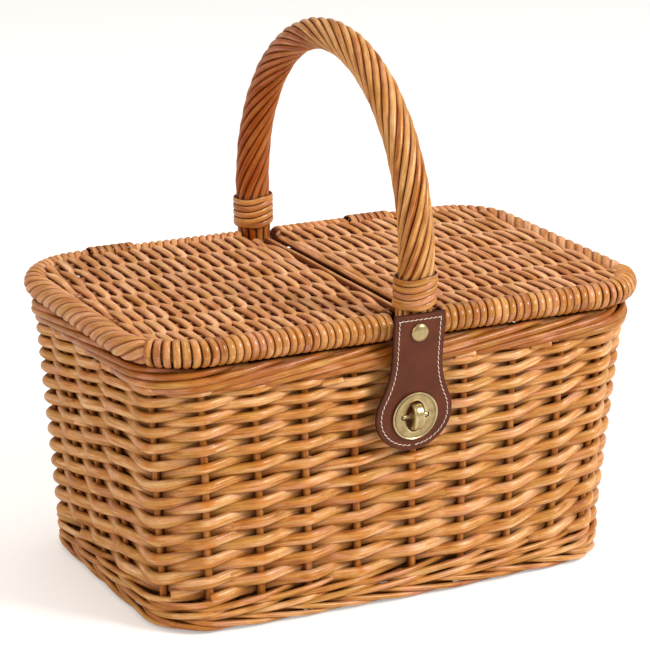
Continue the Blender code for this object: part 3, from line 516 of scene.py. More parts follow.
def makeSideWeave():
    bundle = newBundle()
    for share, _, lean, _ in stakes:
        z = np.linspace(0.006, 0.1885, 26)
        wander = 0.0003 * np.sin(z * 60 + 40 * share)
        point, normal = onWall(leaning(share, lean, z) + wander, z, sideRows["stakeOut"])
        radius = sideRows["stakeRadius"] * (1.04 - 0.12 * z / 0.19)
        # Painted shade: stakes are given a dark tone and some shade, as they show only in the shaded gaps between
        # strands.
        layRod(bundle, point, normal, radius, radius, 12, tone=rng.uniform(0.0, 0.3), bend=0.35, deep=0.36)
    swing, steps = sideRows["swing"], sideRows["steps"]
    for first in (0, 1):  # A strand starts over one stake and behind the next.
        for start in range(-24, 14):
            index = np.arange(0, 60)
            share, slip, lean, tight = (np.array(v) for v in zip(*(stakeAt(int(i)) for i in index)))
            row = middleRow + (start + (index - first) / 2 + slip - middleRow) * tight
            t = np.arange(0, len(index) - 1 + 1e-9, 1 / steps)
            rows = np.interp(t, index, row)
            z = rowHeight(rows)
            keep = (rows > -0.95) & (rows < 12.4) & (z > sideRows["lowest"]) & (z < sideRows["highest"])
            if keep.sum() < 4:
                continue
            k0, k1 = np.argmax(keep), len(keep) - np.argmax(keep[::-1])
            t, z = t[k0:k1], z[k0:k1]
            z = np.convolve(np.pad(z, 2, mode="edge"), np.ones(5) / 5, "valid")
            wave = np.arcsin(0.975 * np.cos(math.pi * (t - first))) / math.asin(0.975)
            grow = smooth(sideRows["lowest"], sideRows["highest"], z)
            halfOut = sideRows["butt"][0] + (sideRows["tip"][0] - sideRows["butt"][0]) * grow
            halfSide = sideRows["butt"][1] + (sideRows["tip"][1] - sideRows["butt"][1]) * grow
            seed = rng.uniform(0, 6.28)
            unseen = smooth(0.125, 0.165, (np.interp(t, index, share) + 0.35) % 1.0 - 0.35)
            halfSide = halfSide * (1 + 0.04 * np.sin(2.1 * t + seed) + 0.28 * np.clip(0.1 - wave, 0, 1))
            halfSide = halfSide * (1 + 0.36 * unseen)
            out = sideRows["stakeOut"] + (swing + 0.0003 * grow) * wave
            z = z + 0.0004 * np.sin(1.3 * t + seed) - 0.0014 * np.clip(-wave, 0, 1)
            place = leaning(np.interp(t, index, share), np.interp(t, index, lean), z)
            point, normal = onWall(place, z, out)
            crest = np.exp(-((((t - first + 1) % 2) - 1) / 0.10) ** 2)
            gold = np.interp(place, [0.0, 0.06], [0.75, 0.15])
            bend = np.clip(gold + 0.35 * np.sin(2.7 * t + seed), 0, 1) * crest
            # Painted shade: strands darken where they pass behind a stake.
            deep = 0.72 * np.clip(0.35 - wave, 0, 1.35) / 1.35
            # Painted highlight: lit lightens the half of each stroke that runs from its crest to the next stake, and
            # puts a pale highlight on each crest, strongest right of the front's middle. It is added to the tone.
            lit = 0.16 * np.sin(math.pi * (t - first)) + 0.55 * (1 - gold) * crest
            tone = 0.5 + lit + 0.2 * np.sin(0.9 * t + seed) + rng.uniform(-0.16, 0.16)
            layRod(bundle, point, normal, halfOut, halfSide, 10, ends="cc", tone=np.clip(tone, 0, 1),
                   bend=bend, deep=deep)
    for share, height in cutEnds:  # New rods join here, and their pale ends stick out a little.
        run = np.linspace(0, 1, 9)
        point, normal = onWall(share - 0.012 * (1 - run), height - 0.0016 * (1 - run), -0.0022 + 0.0030 * run)
        layRod(bundle, point, normal, 0.0019, 0.0021, 10, ends="cc", tone=0.6 + 0.4 * run ** 6, groove=0.3)
    return finishPiece(bundle, "sideWeave", willow, "basket", ["side_weave"])


makeSideWeave()

waling = {
    "rows": ((0.0088, 0.0098), (0.0158, 0.0102)),
    "half": (0.0023, 0.0024),
    "steps": 7,
}


def strokes(bundle, nodes, half, tones, steps=7, sides=8):
    # Rods that all follow the same few stations, one from every stake.
    nodes = np.array(nodes, float)
    t = np.linspace(0, len(nodes) - 1, steps * (len(nodes) - 1) + 1)
    offsets = nodes[:, 0]
    for k in range(stakeCount):
        place, _, lean, _ = (np.array(v) for v in zip(*(stakeAt(k + i) for i in range(-2, 9))))
        at = leaning(np.interp(offsets, np.arange(-2, 9), place), np.interp(offsets, np.arange(-2, 9), lean),
                     nodes[:, 1])
        jitter = rng.uniform(-1, 1, 3)

        def ease(values):
            rough = np.interp(t, np.arange(len(nodes)), values)
            size = steps | 1
            return np.convolve(np.pad(rough, size // 2, mode="edge"), np.ones(size) / size, "valid")

        z = ease(nodes[:, 1]) + 0.0005 * jitter[0]
        out = ease(nodes[:, 2]) + 0.0003 * jitter[1]
        point, normal = onWall(ease(at), z, out)
        size = 1 + 0.08 * jitter[2]
        taper = np.interp(t, [0, len(nodes) - 1], [1.06, 0.94])
        low = z - half[1] * size * taper
        point[:, 2] += np.clip(0.0002 - low, 0, None)
        # Painted shade: strokes darken where they lie back into the wall.
        deep = 0.6 * np.clip((-0.0015 - out) / 0.008, 0, 1)
        layRod(bundle, point, normal, half[0] * size * taper, half[1] * size * taper, sides,
               tone=rng.uniform(*tones) + 0.12 * np.sin(t + 6 * jitter[0]), deep=deep)


def makeWaling():
    bundle = newBundle()
    for z, rise in waling["rows"]:
        nodes = [(0, z - 0.0002, -0.0125), (0.5, z + rise * 0.10, -0.0065), (1, z + rise * 0.30, -0.0010),
                 (1.5, z + rise * 0.48, 0.0001), (2, z + rise * 0.66, -0.0008), (2.5, z + rise * 0.85, -0.0062),
                 (3, z + rise, -0.0125)]
        strokes(bundle, nodes, waling["half"], (0.15, 0.75), waling["steps"])
    return finishPiece(bundle, "lowerWaling", willow, "basket", ["lower_waling"])


makeWaling()

footBorder = {"half": (0.0023, 0.0021), "top": 0.0104, "low": 0.0023}


def makeFootBorder():
    bundle = newBundle()
    top, low = footBorder["top"], footBorder["low"]
    nodes = [(0, top, -0.0100), (0.45, top - 0.0008, -0.0048), (0.9, top - 0.0026, -0.0008), (1.4, top - 0.0048, 0.0),
             (1.9, top - 0.0070, -0.0006), (2.4, low + 0.0010, -0.0032), (2.9, low, -0.0075)]
    strokes(bundle, nodes, footBorder["half"], (0.1, 0.7), 7)
    for out in (-0.0080, -0.0105, -0.0145, -0.0188):  # The rods' turned ends fill the underside.
        share = np.linspace(0, 1, 241)[:-1]
        point, normal = onWall(share, 0.0045 + 0.002 * (out > -0.009), out)
        # Painted shade: these rods are dark, as they lie in shade under the basket.
        layRod(bundle, point, normal, 0.0028, 0.0026, 8, closed=True, tone=0.2, deep=0.5)
    return finishPiece(bundle, "footBorder", willow, "basket", ["foot_border"])


makeFootBorder()

topBorder = {"half": (0.0027, 0.0027)}


def makeTopBorder():
    bundle = newBundle()
    nodes = [(-0.35, 0.1800, -0.0095), (0.0, 0.1812, -0.0045), (0.4, 0.1830, -0.0006), (1.0, 0.1856, 0.0005),
             (1.7, 0.1890, 0.0006), (2.4, 0.1923, 0.0002), (2.9, 0.1944, -0.0014), (3.3, 0.1956, -0.0048),
             (3.7, 0.1950, -0.0090)]
    strokes(bundle, nodes, topBorder["half"], (-0.8, 0.15), 7, 10)
    nodes = [(0, 0.1840, -0.0082), (1, 0.1880, -0.0078), (2, 0.1920, -0.0078), (3, 0.1950, -0.0080),
             (4, 0.1955, -0.0090)]
    strokes(bundle, nodes, (0.0030, 0.0028), (0.0, 0.3), 5, 7)
    return finishPiece(bundle, "topBorder", willow, "basket", ["top_border"])


makeTopBorder()

floorWeave = {"middle": 0.0080, "swing": 0.0012, "half": (0.0027, 0.0034), "pitch": 0.0062, "sticks": 9}


def insideHalf(y, height, inset):
    # How far the body reaches sideways at a depth y.
    s = height / wall["height"]
    halfX = wall["baseHalfWidth"] + s * wall["sideFlare"] - inset
    halfY = wall["baseHalfDepth"] + s * wall["frontFlare"] - inset
    corner = wall["baseCorner"] + s * wall["cornerGrowth"] - inset
    past = np.clip(np.abs(y) - (halfY - corner), 0, corner)
    return halfX - corner + np.sqrt(np.maximum(corner ** 2 - past ** 2, 0)), halfY


def makeFloorWeave():
    bundle = newBundle()
    middle, swing, pitch = floorWeave["middle"], floorWeave["swing"], floorWeave["pitch"]
    halfY = insideHalf(0, middle, 0.0118)[1] - 0.001
    sticks = np.linspace(-0.152, 0.152, floorWeave["sticks"])
    gap = sticks[1] - sticks[0]
    for x in sticks:
        reach = halfY - (0.012 if abs(x) > 0.14 else 0.0)
        y = np.linspace(-reach, reach, 12)
        path = np.stack([np.full(12, x), y, np.full(12, middle)], 1)
        # The floor's rods carry a little painted shade, as they lie inside the basket.
        layRod(bundle, path, (0, 0, 1), 0.0019, 0.0026, 8, tone=rng.uniform(0.2, 0.6), deep=0.2)
    rows = np.arange(-halfY + 0.004, halfY - 0.003, pitch)
    for k, y in enumerate(rows):
        reach = insideHalf(y, middle, 0.0118)[0] - 0.002
        x = np.linspace(-reach, reach, 90)
        z = middle + swing * np.cos(math.pi * (x - sticks[0]) / gap + math.pi * (k % 2))
        path = np.stack([x, np.full_like(x, y), z], 1)
        layRod(bundle, path, (0, 0, 1), *floorWeave["half"], 8, tone=rng.uniform(0.1, 0.8), deep=0.12)
    return finishPiece(bundle, "floorWeave", willow, "basket", ["floor_weave"])


makeFloorWeave()
print("body made")

# The arch handle, twelve rods twisted round a core, with cane collars
handle = {
    "foot": 0.1985,
    "footOut": 0.1262,
    "lean": 0.0038,
    "legHeight": 0.0565,
    "halfDepth": 0.130,
    "rise": 0.1361,
    "radii": (0.0120, 0.0130, 0.0116),
    "rods": 12,
    "rodRadius": 0.00268,
    "lay": 0.183,
    "collars": ((-1, 0.2235), (1, 0.2206)),
}


def legOut(height):
    return handle["footOut"] + handle["lean"] * (height - handle["foot"]) / handle["legHeight"]


def handleLine():
    spring = handle["foot"] + handle["legHeight"]
    z = np.linspace(handle["foot"] - 0.004, spring, 14)[:-1]
    start = np.stack([np.zeros(13), -legOut(z), z], 1)
    angle = np.linspace(0, math.pi, 121)
    arch = np.stack([0 * angle, -handle["halfDepth"] * np.cos(angle), spring + handle["rise"] * np.sin(angle)], 1)
    end = start[::-1] * (1, -1, 1)
    line = np.concatenate([start, arch, end])
    foot, full, top = handle["radii"]
    collarTop = handle["collars"][0][1]
    legRadius = foot + (full - foot) * np.clip((z - handle["foot"]) / (collarTop - handle["foot"]), 0, 1)
    radius = np.concatenate([legRadius, full + (top - full) * np.sin(angle), legRadius[::-1]])
    step = np.concatenate([[0], np.linalg.norm(np.diff(line, axis=0), axis=1)])
    step[:10] = 0
    step[-9:] = 0
    turn = 2 * math.pi * np.cumsum(step) / handle["lay"]
    return line, radius, turn


def makeHandle():
    line, radius, turn = handleLine()
    along = unit(np.gradient(line, axis=0))
    side = np.broadcast_to((1.0, 0, 0), line.shape)
    up = np.cross(along, side)
    bundle = newBundle()
    for k in range(handle["rods"]):
        size = handle["rodRadius"] * rng.uniform(0.97, 1.04)
        angle = turn + 2 * math.pi * k / handle["rods"] + 0.10
        out = np.cos(angle)[:, None] * side + np.sin(angle)[:, None] * up
        small = np.interp(radius, [0.0116, 0.0130], [0.90, 1.0])
        half = size * small
        wobble = 0.00015 * np.sin(np.arange(len(line)) * 0.31 + 5 * k)
        path = line + out * (radius - half + wobble)[:, None]
        seed = rng.uniform(0, 6.28)
        tone = 0.55 + 0.2 * np.sin(np.arange(len(line)) * 0.09 + seed) + rng.uniform(-0.2, 0.2)
        # The back limb is darker and more orange than the front.
        tone = tone - 0.45 * smooth(-0.02, 0.10, line[:, 1])
        back = 0.6 * smooth(0.0, 0.12, line[:, 1])
        # groove paints shade on each rod's sides, between the twisted rods.
        layRod(bundle, path, out, half, half, 14, tone=np.clip(tone, 0, 1), bend=back, groove=1.6)
    handlePiece = finishPiece(bundle, "handleRods", handleWillow, "basket", ["handle_rods", "handle_core"])
    bundle = newBundle()
    # The core is painted dark all over, as the shade seen between the rods.
    layRod(bundle, line[::2], side[::2], 0.0085, 0.0085, 12, tone=0.1, deep=1.0)
    finishPiece(bundle, "handleHeart", handleWillow, "basket", ())
    return handlePiece


makeHandle()

collar = {"turns": 5, "pitch": 0.0049, "half": (0.00125, 0.00236), "inner": 0.0130}


def makeCollar(word, end, foot):
    bundle = newBundle()
    turns, pitch = collar["turns"], collar["pitch"]
    t = np.linspace(0, turns, turns * 30 + 1)
    angle = 2 * math.pi * t + math.pi / 2
    # Each turn lies almost level, then steps up to the next behind the leg.
    part = t % 1.0
    level = np.floor(t) + smooth(0.35, 0.65, part)
    z = foot + pitch * (0.5 + level - 0.5)
    z = np.clip(z, foot + 0.0022, foot + turns * pitch - 0.0022)
    radius = collar["inner"] + collar["half"][0] + 0.0001
    out = np.stack([np.cos(angle), np.sin(angle), np.zeros_like(t)], 1)
    path = np.stack([np.zeros_like(t), end * legOut(z), z], 1) + out * radius
    tone = 0.55 + 0.25 * np.sin(2.3 * t + foot * 900)
    # groove paints shade between the turns.
    layRod(bundle, path, out, *collar["half"], 14, tone=tone, groove=1.3, square=0.1)
    z = np.linspace(foot + 0.0005, foot + turns * pitch - 0.0005, 8)
    path = np.stack([np.zeros(8), end * legOut(z), z], 1)
    # The core inside the turns is painted dark, as the shade between them.
    layRod(bundle, path, (1, 0, 0), 0.0124, 0.0124, 24, ends="cc", tone=0.1, deep=1.0)
    finishPiece(bundle, f"{word}Collar", cane, "basket", [f"{word}_collar"])


for word, (end, foot) in zip(("front", "back"), handle["collars"]):
    makeCollar(word, end, foot)
print("handle made")

# The lids. side is -1 on the left and 1 on the right.
rim = {
    "halfWidth": 0.200,
    "halfDepth": 0.122,
    "height": 0.209,
    "radius": 0.0100,
    "core": 0.0066,
    "nearCorner": 0.048,
    "farCorner": {-1: 0.054, 1: 0.038},
    "notch": {-1: 0.0165, 1: 0.0225},
    "wrapEnd": {-1: 0.1874, 1: 0.1999},
    "hinge": {-1: -0.123, 1: 0.0965},
    "hingeHalf": 0.022,
}


def rimLengths(side):
    near, far, notch = rim["nearCorner"], rim["farCorner"][side], rim["notch"][side]
    return (rim["halfWidth"] - near - notch, math.pi / 2 * near, 2 * rim["halfDepth"] - near - far,
            math.pi / 2 * far, rim["halfWidth"] - far - notch)


def rimLine(side, s):
    # Points on a rim's middle line and the way straight outwards, s along it from its front notch.
    front, nearBend, flank, farBend, _ = rimLengths(side)
    near, far = rim["nearCorner"], rim["farCorner"][side]
    halfX, halfY = rim["halfWidth"], rim["halfDepth"]
    s = np.asarray(s, float)
    facing = (np.clip((s - front) / near, 0, math.pi / 2) - math.pi / 2
              + np.clip((s - front - nearBend - flank) / far, 0, math.pi / 2))
    pastFlank = s - front - nearBend - flank
    x = np.select([s <= front, s <= front + nearBend + flank, pastFlank <= farBend],
                  [halfX - near - front + s, halfX - near + near * np.cos(np.minimum(facing, 0)),
                   halfX - far + far * np.cos(np.maximum(facing, 0))], halfX - far - (pastFlank - farBend))
    y = np.select([s <= front, s <= front + nearBend, s <= front + nearBend + flank, pastFlank <= farBend],
                  [-halfY + 0 * s, near - halfY + near * np.sin(facing), near - halfY + (s - front - nearBend),
                   halfY - far + far * np.sin(facing)], halfY)
    out = np.stack([side * np.cos(facing), np.sin(facing), 0 * s], -1)
    return np.stack([side * x, y, np.full_like(s, rim["height"])], -1), out


def aroundRim(side, s, angle, radius):
    point, out = rimLine(side, s)
    angle, radius = np.broadcast_to(angle, np.shape(s)), np.broadcast_to(radius, np.shape(s))
    away = np.cos(angle)[:, None] * out + np.sin(angle)[:, None] * np.array((0, 0, 1.0))
    return point + radius[:, None] * away, away


frontWrap = {"turns": {-1: 31, 1: 32}, "start": 0.0006, "end": {-1: 0.1805, 1: 0.1925}, "half": 0.0018}
ropes = {"pitch": 0.0125, "lean": 0.074, "half": (0.0026, 0.0036), "backPitch": 0.0060, "backLean": 0.016,
         "backHalf": 0.0030, "backEnd": {-1: 0.0150, 1: 0.0152}}


def makeRim(side, word):
    # Side and back strokes lie over the rim like the strands of a rope. The front is bare under its cane.
    bundle = newBundle()
    lengths = rimLengths(side)
    total = sum(lengths) + rim["notch"][side] - ropes["backEnd"][side]
    hingeS = sum(lengths) - abs(rim["hinge"][side]) + rim["notch"][side]
    bareHalf = rim["hingeHalf"] - 0.0034
    spans = ((frontWrap["end"][side] - 0.003, hingeS - bareHalf), (hingeS + bareHalf, total))
    flankEnd = sum(lengths[:3])
    for start, end in spans:
        s = start - 0.050
        while s < end + 0.020:
            back = float(smooth(flankEnd - 0.01, flankEnd + 0.05, s))
            pitch = ropes["pitch"] + (ropes["backPitch"] - ropes["pitch"]) * back
            half = ropes["half"][1] + (ropes["backHalf"] - ropes["half"][1]) * back
            lean = ropes["lean"] + (ropes["backLean"] - ropes["lean"]) * back
            angle = np.radians(np.linspace(-130, 200, 31))
            at = s - lean * (angle - math.pi / 2) / (2 * math.pi)
            low, high = start, end - half * 0.2
            inside = (at > low) & (at < high)
            if inside.sum() > 3:
                angle, at = angle[inside], at[inside]
                tuck = 1 - smooth(0, 0.007, at - start) if start < flankEnd else 0 * at
                lay = rim["radius"] - ropes["half"][0] - 0.0009 - 0.0022 * tuck
                path, out = aroundRim(side, at, angle, lay)
                tone = rng.uniform(0.05, 0.60) + 0.15 * np.sin(angle * 2 + s * 50)
                # groove paints shade along each stroke's sides, between neighbouring strokes.
                layRod(bundle, path, out, ropes["half"][0], half * rng.uniform(0.94, 1.03), 12, ends="cc",
                       tone=np.clip(tone, 0, 1), deep=0.0, groove=1.4)
            s += pitch
    s = np.linspace(0, total, 200)
    bare = (s < frontWrap["end"][side]) | (np.abs(s - hingeS) < rim["hingeHalf"])
    radius = np.where(bare, rim["core"], 0.0078)
    path, out = rimLine(side, s)
    # The core is painted dark where it shows, as the shade under the strokes.
    layRod(bundle, path, out, radius, radius, 14, ends="cc", tone=0.2, deep=0.75)
    finishPiece(bundle, f"{word}LidRim", lidWillow, f"{word}_lid", [f"{word}_lid_rim"])




def makeFrontWrap(side, word):
    bundle = newBundle()
    turns = frontWrap["turns"][side]
    pitch = (frontWrap["end"][side] - frontWrap["start"]) / turns
    for k in range(turns):
        angle = np.linspace(0, 2 * math.pi, 33)[:-1]
        s = frontWrap["start"] + (k + 0.5) * pitch + pitch * 0.16 * np.sin(angle - 1.2) + rng.uniform(-1, 1) * 0.0002
        s = np.clip(s, 0.0006 + pitch * 0.45, None)
        lift = 0.00015 * rng.uniform(0, 1)
        path, out = aroundRim(side, s, angle, rim["radius"] - frontWrap["half"] + lift - 0.0001)
        wide = pitch / 2 * rng.uniform(0.93, 1.01)
        tone = 0.5 + 0.2 * np.sin(angle + k) + rng.uniform(-0.3, 0.3)
        # groove paints shade between neighbouring turns.
        layRod(bundle, path, out, frontWrap["half"], wide, 14, closed=True, tone=np.clip(tone, 0, 1), deep=0.0,
               groove=1.0)
    finishPiece(bundle, f"{word}FrontWrap", cane, f"{word}_lid", [f"{word}_lid_front_wrap"])


seamStick = {"radius": 0.0026, "x": 0.003, "apart": 0.0057, "z": 0.2150, "from": -0.108, "to": 0.098}


def makeSeamStick(side, word):
    bundle = newBundle()
    y = np.linspace(seamStick["from"], seamStick["to"], 40)
    x = seamStick["x"] + side * seamStick["apart"] + 0.0002 * np.sin(y * 70 + side)
    path = np.stack([x, y, seamStick["z"] + 0.00015 * np.sin(y * 45)], 1)
    # groove paints each stick's sides dark, which shows as a dark line of shade in the gap between the sticks.
    layRod(bundle, path, (-0.35 * side, 0, 1), seamStick["radius"], seamStick["radius"], 16, ends="cc", tone=0.2,
           deep=0.05, groove=1.8)
    finishPiece(bundle, f"{word}SeamStick", lidWillow, f"{word}_lid", [f"{word}_lid_seam_stick"])


lidWeave = {
    "middle": 0.2136,
    "swing": 0.0015,
    "half": (0.0024, 0.0034),
    "legReach": (-0.110, 0.1000),
    "legHalf": 0.0150,
    "pitch": 0.0050,
    "drift": {-1: 0.045, 1: 0.0},
    "sticks": (-0.1010, -0.0710, -0.0405, -0.0090, 0.0255, 0.0630, 0.1010),
    "stickRadius": 0.0021,
    "lean": 0.0035,
}


def lidReach(side, x):
    # The front and back ends of the woven panel at a place x, at the rim's inner face.
    a = np.abs(x)
    halfX, halfY = rim["halfWidth"], rim["halfDepth"]
    near, far = rim["nearCorner"], rim["farCorner"][side]
    pastNear = np.clip(a - (halfX - near), 0, near)
    pastFar = np.clip(a - (halfX - far), 0, far)
    front = -(halfY - near + np.sqrt(np.maximum((near - 0.005) ** 2 - np.minimum(pastNear, near - 0.005) ** 2, 0)))
    back = halfY - far + np.sqrt(np.maximum((far - 0.005) ** 2 - np.minimum(pastFar, far - 0.005) ** 2, 0))
    return front, back


def makeLidWeave(side, word):
    bundle = newBundle()
    sticks = np.array(lidWeave["sticks"])
    inner = seamStick["x"] + side * (seamStick["apart"] + seamStick["radius"] + 0.0006)
    outer = side * (rim["halfWidth"] - 0.0078)
    xs = np.arange(inner + side * 0.0026, outer, side * lidWeave["pitch"])
    marks = np.concatenate([[sticks[0] - 40e-3], sticks, [sticks[-1] + 40e-3]])
    for k, x in enumerate(xs):
        front, back = lidReach(side, x)
        if abs(x) < lidWeave["legHalf"]:
            front, back = lidWeave["legReach"]
        y = np.linspace(front + 0.0015, back - 0.0015, 90)
        t = np.interp(y, marks, np.arange(len(marks)))
        wave = np.tanh(1.2 * np.cos(math.pi * (t + k % 2))) / math.tanh(1.2)
        z = lidWeave["middle"] + lidWeave["swing"] * wave
        shift = lidWeave["lean"] * (0.5 - ((t + 0.5 + (k % 2)) % 2) / 2) * 0.8 + lidWeave["drift"][side] * y
        seed = rng.uniform(0, 6.28)
        shift = shift + 0.0004 * np.sin(y * 60 + seed)
        shift = shift * smooth(0, 0.03, np.minimum(np.abs(x - inner), np.abs(x - outer)))
        path = np.stack([x + shift, y, z], 1)
        # Painted shade: hollow puts a dark spot where each strand dips under a stick, where a small hole opens, and
        # deep darkens each strand as it dips under.
        hollow = np.exp(-((((t + k % 2) % 2) - 0.74) / 0.15) ** 2)
        half = lidWeave["half"][1] * (0.80 + 0.20 * np.abs(wave)) * (1 + 0.06 * np.sin(y * 35 + seed))
        half = half * (1 - 0.25 * hollow)
        deep = 0.34 * np.clip(0.5 - wave, 0, 1.5) / 1.5 + 0.62 * hollow
        tone = 0.5 + 0.25 * np.sin(y * 30 + seed) + rng.uniform(-0.2, 0.2)
        bend = 0.35 * (rng.uniform() > 0.6) * smooth(0.6, 1.0, np.sin(y * 40 + seed * 3))
        layRod(bundle, path, (0, 0, 1), lidWeave["half"][0], half, 9, ends="cc", tone=np.clip(tone, 0, 1),
               bend=bend, deep=deep, groove=1.0)
    for y in sticks:
        reach = rim["halfWidth"] - 0.007
        if abs(y) > rim["halfDepth"] - rim["farCorner"][side]:
            past = abs(y) - (rim["halfDepth"] - (rim["nearCorner"] if y < 0 else rim["farCorner"][side]))
            corner = rim["nearCorner"] if y < 0 else rim["farCorner"][side]
            reach = rim["halfWidth"] - corner + math.sqrt(max((corner - 0.006) ** 2 - past ** 2, 0))
        x = np.linspace(inner, side * reach, 30)
        path = np.stack([x, np.full(30, y), np.full(30, lidWeave["middle"] - 0.0007)], 1)
        # The cross sticks lie under the strands and are painted dark as shade.
        layRod(bundle, path, (0, 0, 1), lidWeave["stickRadius"], 0.0028, 10, tone=0.3, deep=0.75)
    finishPiece(bundle, f"{word}LidWeave", lidWillow, f"{word}_lid", [f"{word}_lid_weave"])


hingeBinding = {"turns": 6, "pitch": 0.0060, "half": (0.0012, 0.0028), "core": 0.0084, "lap": 200}


def makeHingeBinding(side, word):
    bundle = newBundle()
    y0, z0 = rim["halfDepth"], rim["height"]
    outer, inner, under = 0.1322, 0.1160, 0.1890
    lap = np.radians(np.linspace(hingeBinding["lap"], hingeBinding["lap"] - 220, 15))
    radius = hingeBinding["core"] + hingeBinding["half"][0]
    arc = [(y0 + radius * math.cos(a), z0 + radius * math.sin(a)) for a in lap]
    loop = arc + [(outer + 0.0008, 0.1985), (outer + 0.0009, 0.1930), (outer + 0.0002, under), (0.1285, under - 0.0012),
                  (0.1215, under - 0.0012), (inner - 0.0004, under + 0.0004), (inner - 0.0009, 0.1940),
                  (inner - 0.0002, 0.2000)]
    loop = np.array(loop)
    count = 48
    far = np.concatenate([[0], np.cumsum(np.linalg.norm(np.diff(np.vstack([loop, loop[:1]]), axis=0), axis=1))])
    at = np.linspace(0, far[-1], count + 1)[:-1]
    closed = np.vstack([loop, loop[:1]])
    y, z = np.interp(at, far, closed[:, 0]), np.interp(at, far, closed[:, 1])
    centre = np.array([y.mean(), z.mean()])
    for k in range(hingeBinding["turns"]):
        x = rim["hinge"][side] + (k - (hingeBinding["turns"] - 1) / 2) * hingeBinding["pitch"]
        wave = 0.0009 * np.sin(2 * math.pi * at / far[-1] + 1.0)
        path = np.stack([x + wave, y, z], 1)
        tangent = unit(np.roll(path, -1, 0) - np.roll(path, 1, 0))
        out = np.cross(tangent, (1.0, 0, 0))
        out = out * np.sign(np.sum(out[:, 1:] * (path[:, 1:] - centre), 1))[:, None]
        tone = 0.30 + 0.2 * np.sin(at * 90 + k) + rng.uniform(-0.3, 0.1)
        # deep and groove paint a little shade, most along the turns' sides.
        layRod(bundle, path, out, *hingeBinding["half"], 12, closed=True, tone=tone, deep=0.12, groove=1.2)
    finishPiece(bundle, f"{word}HingeBinding", cane, "basket", [f"{word}_hinge_binding"])


for side, word in ((-1, "left"), (1, "right")):
    makeRim(side, word)
    makeFrontWrap(side, word)
    makeSeamStick(side, word)
    makeLidWeave(side, word)
    makeHingeBinding(side, word)
print("lids made")

# The leather tab and its lock stand in their own plane: X across, Y up the slope, Z out of the basket.
tab = {
    "x": -0.0033,
    "y": -0.138936,
    "bendHeight": 0.1965,
    "slope": 4.8,
    "thick": 0.0026,
    "topHeight": 0.2222,
    "topHalf": 0.0202,
    "neckHalf": 0.0200,
    "neckDrop": 0.0070,
    "discDrop": 0.0498,
    "discRadius": 0.0303,
    "discFoot": 0.0268,
    "lockDrop": 0.0502,
    "rivetHeight": 0.2088,
    "holeRadius": 0.0128,
}
tabPlace = Matrix.Translation((tab["x"], tab["y"], tab["bendHeight"])) @ Matrix.Rotation(
    math.pi / 2 + math.radians(tab["slope"]), 4, "X")
tabNumbers = np.array(tabPlace)


def onTab(points):
    return np.asarray(points, float) @ tabNumbers[:3, :3].T + tabNumbers[:3, 3]


def tabOutline(steps=16):
    # The right half of the strap and disc, from the top corner down to the middle of the disc's foot.
    rise = (tab["topHeight"] - tab["bendHeight"]) / math.cos(math.radians(tab["slope"]))
    neck, disc = tab["neckHalf"], tab["discRadius"]
    drop = tab["discDrop"] - tab["neckDrop"]
    fillet = (drop ** 2 + neck ** 2 - disc ** 2) / (2 * (disc - neck))
    meet = math.atan2(drop, neck + fillet)
    half = [(tab["topHalf"], rise * (1 - k / 10)) for k in range(10)]
    half = [(x - (tab["topHalf"] - neck) * (1 - y / rise), y) for x, y in half]
    half += [(neck, 0.0), (neck, -tab["neckDrop"] / 2)]
    for k in range(steps + 1):
        a = meet * k / steps
        half.append((neck + fillet * (1 - math.cos(a)), -tab["neckDrop"] - fillet * math.sin(a)))
    for k in range(1, 2 * steps + 1):
        a = meet - (meet + math.pi / 2) * k / (2 * steps)
        down = disc if a > 0 else tab["discFoot"]
        half.append((disc * math.cos(a), -tab["discDrop"] + down * math.sin(a)))
    return np.array(half)


def evenly(points, count):
    far = np.concatenate([[0], np.cumsum(np.linalg.norm(np.diff(points, axis=0), axis=1))])
    at = np.linspace(0, far[-1], count)
    return np.stack([np.interp(at, far, points[:, 0]), np.interp(at, far, points[:, 1])], 1), far[-1]


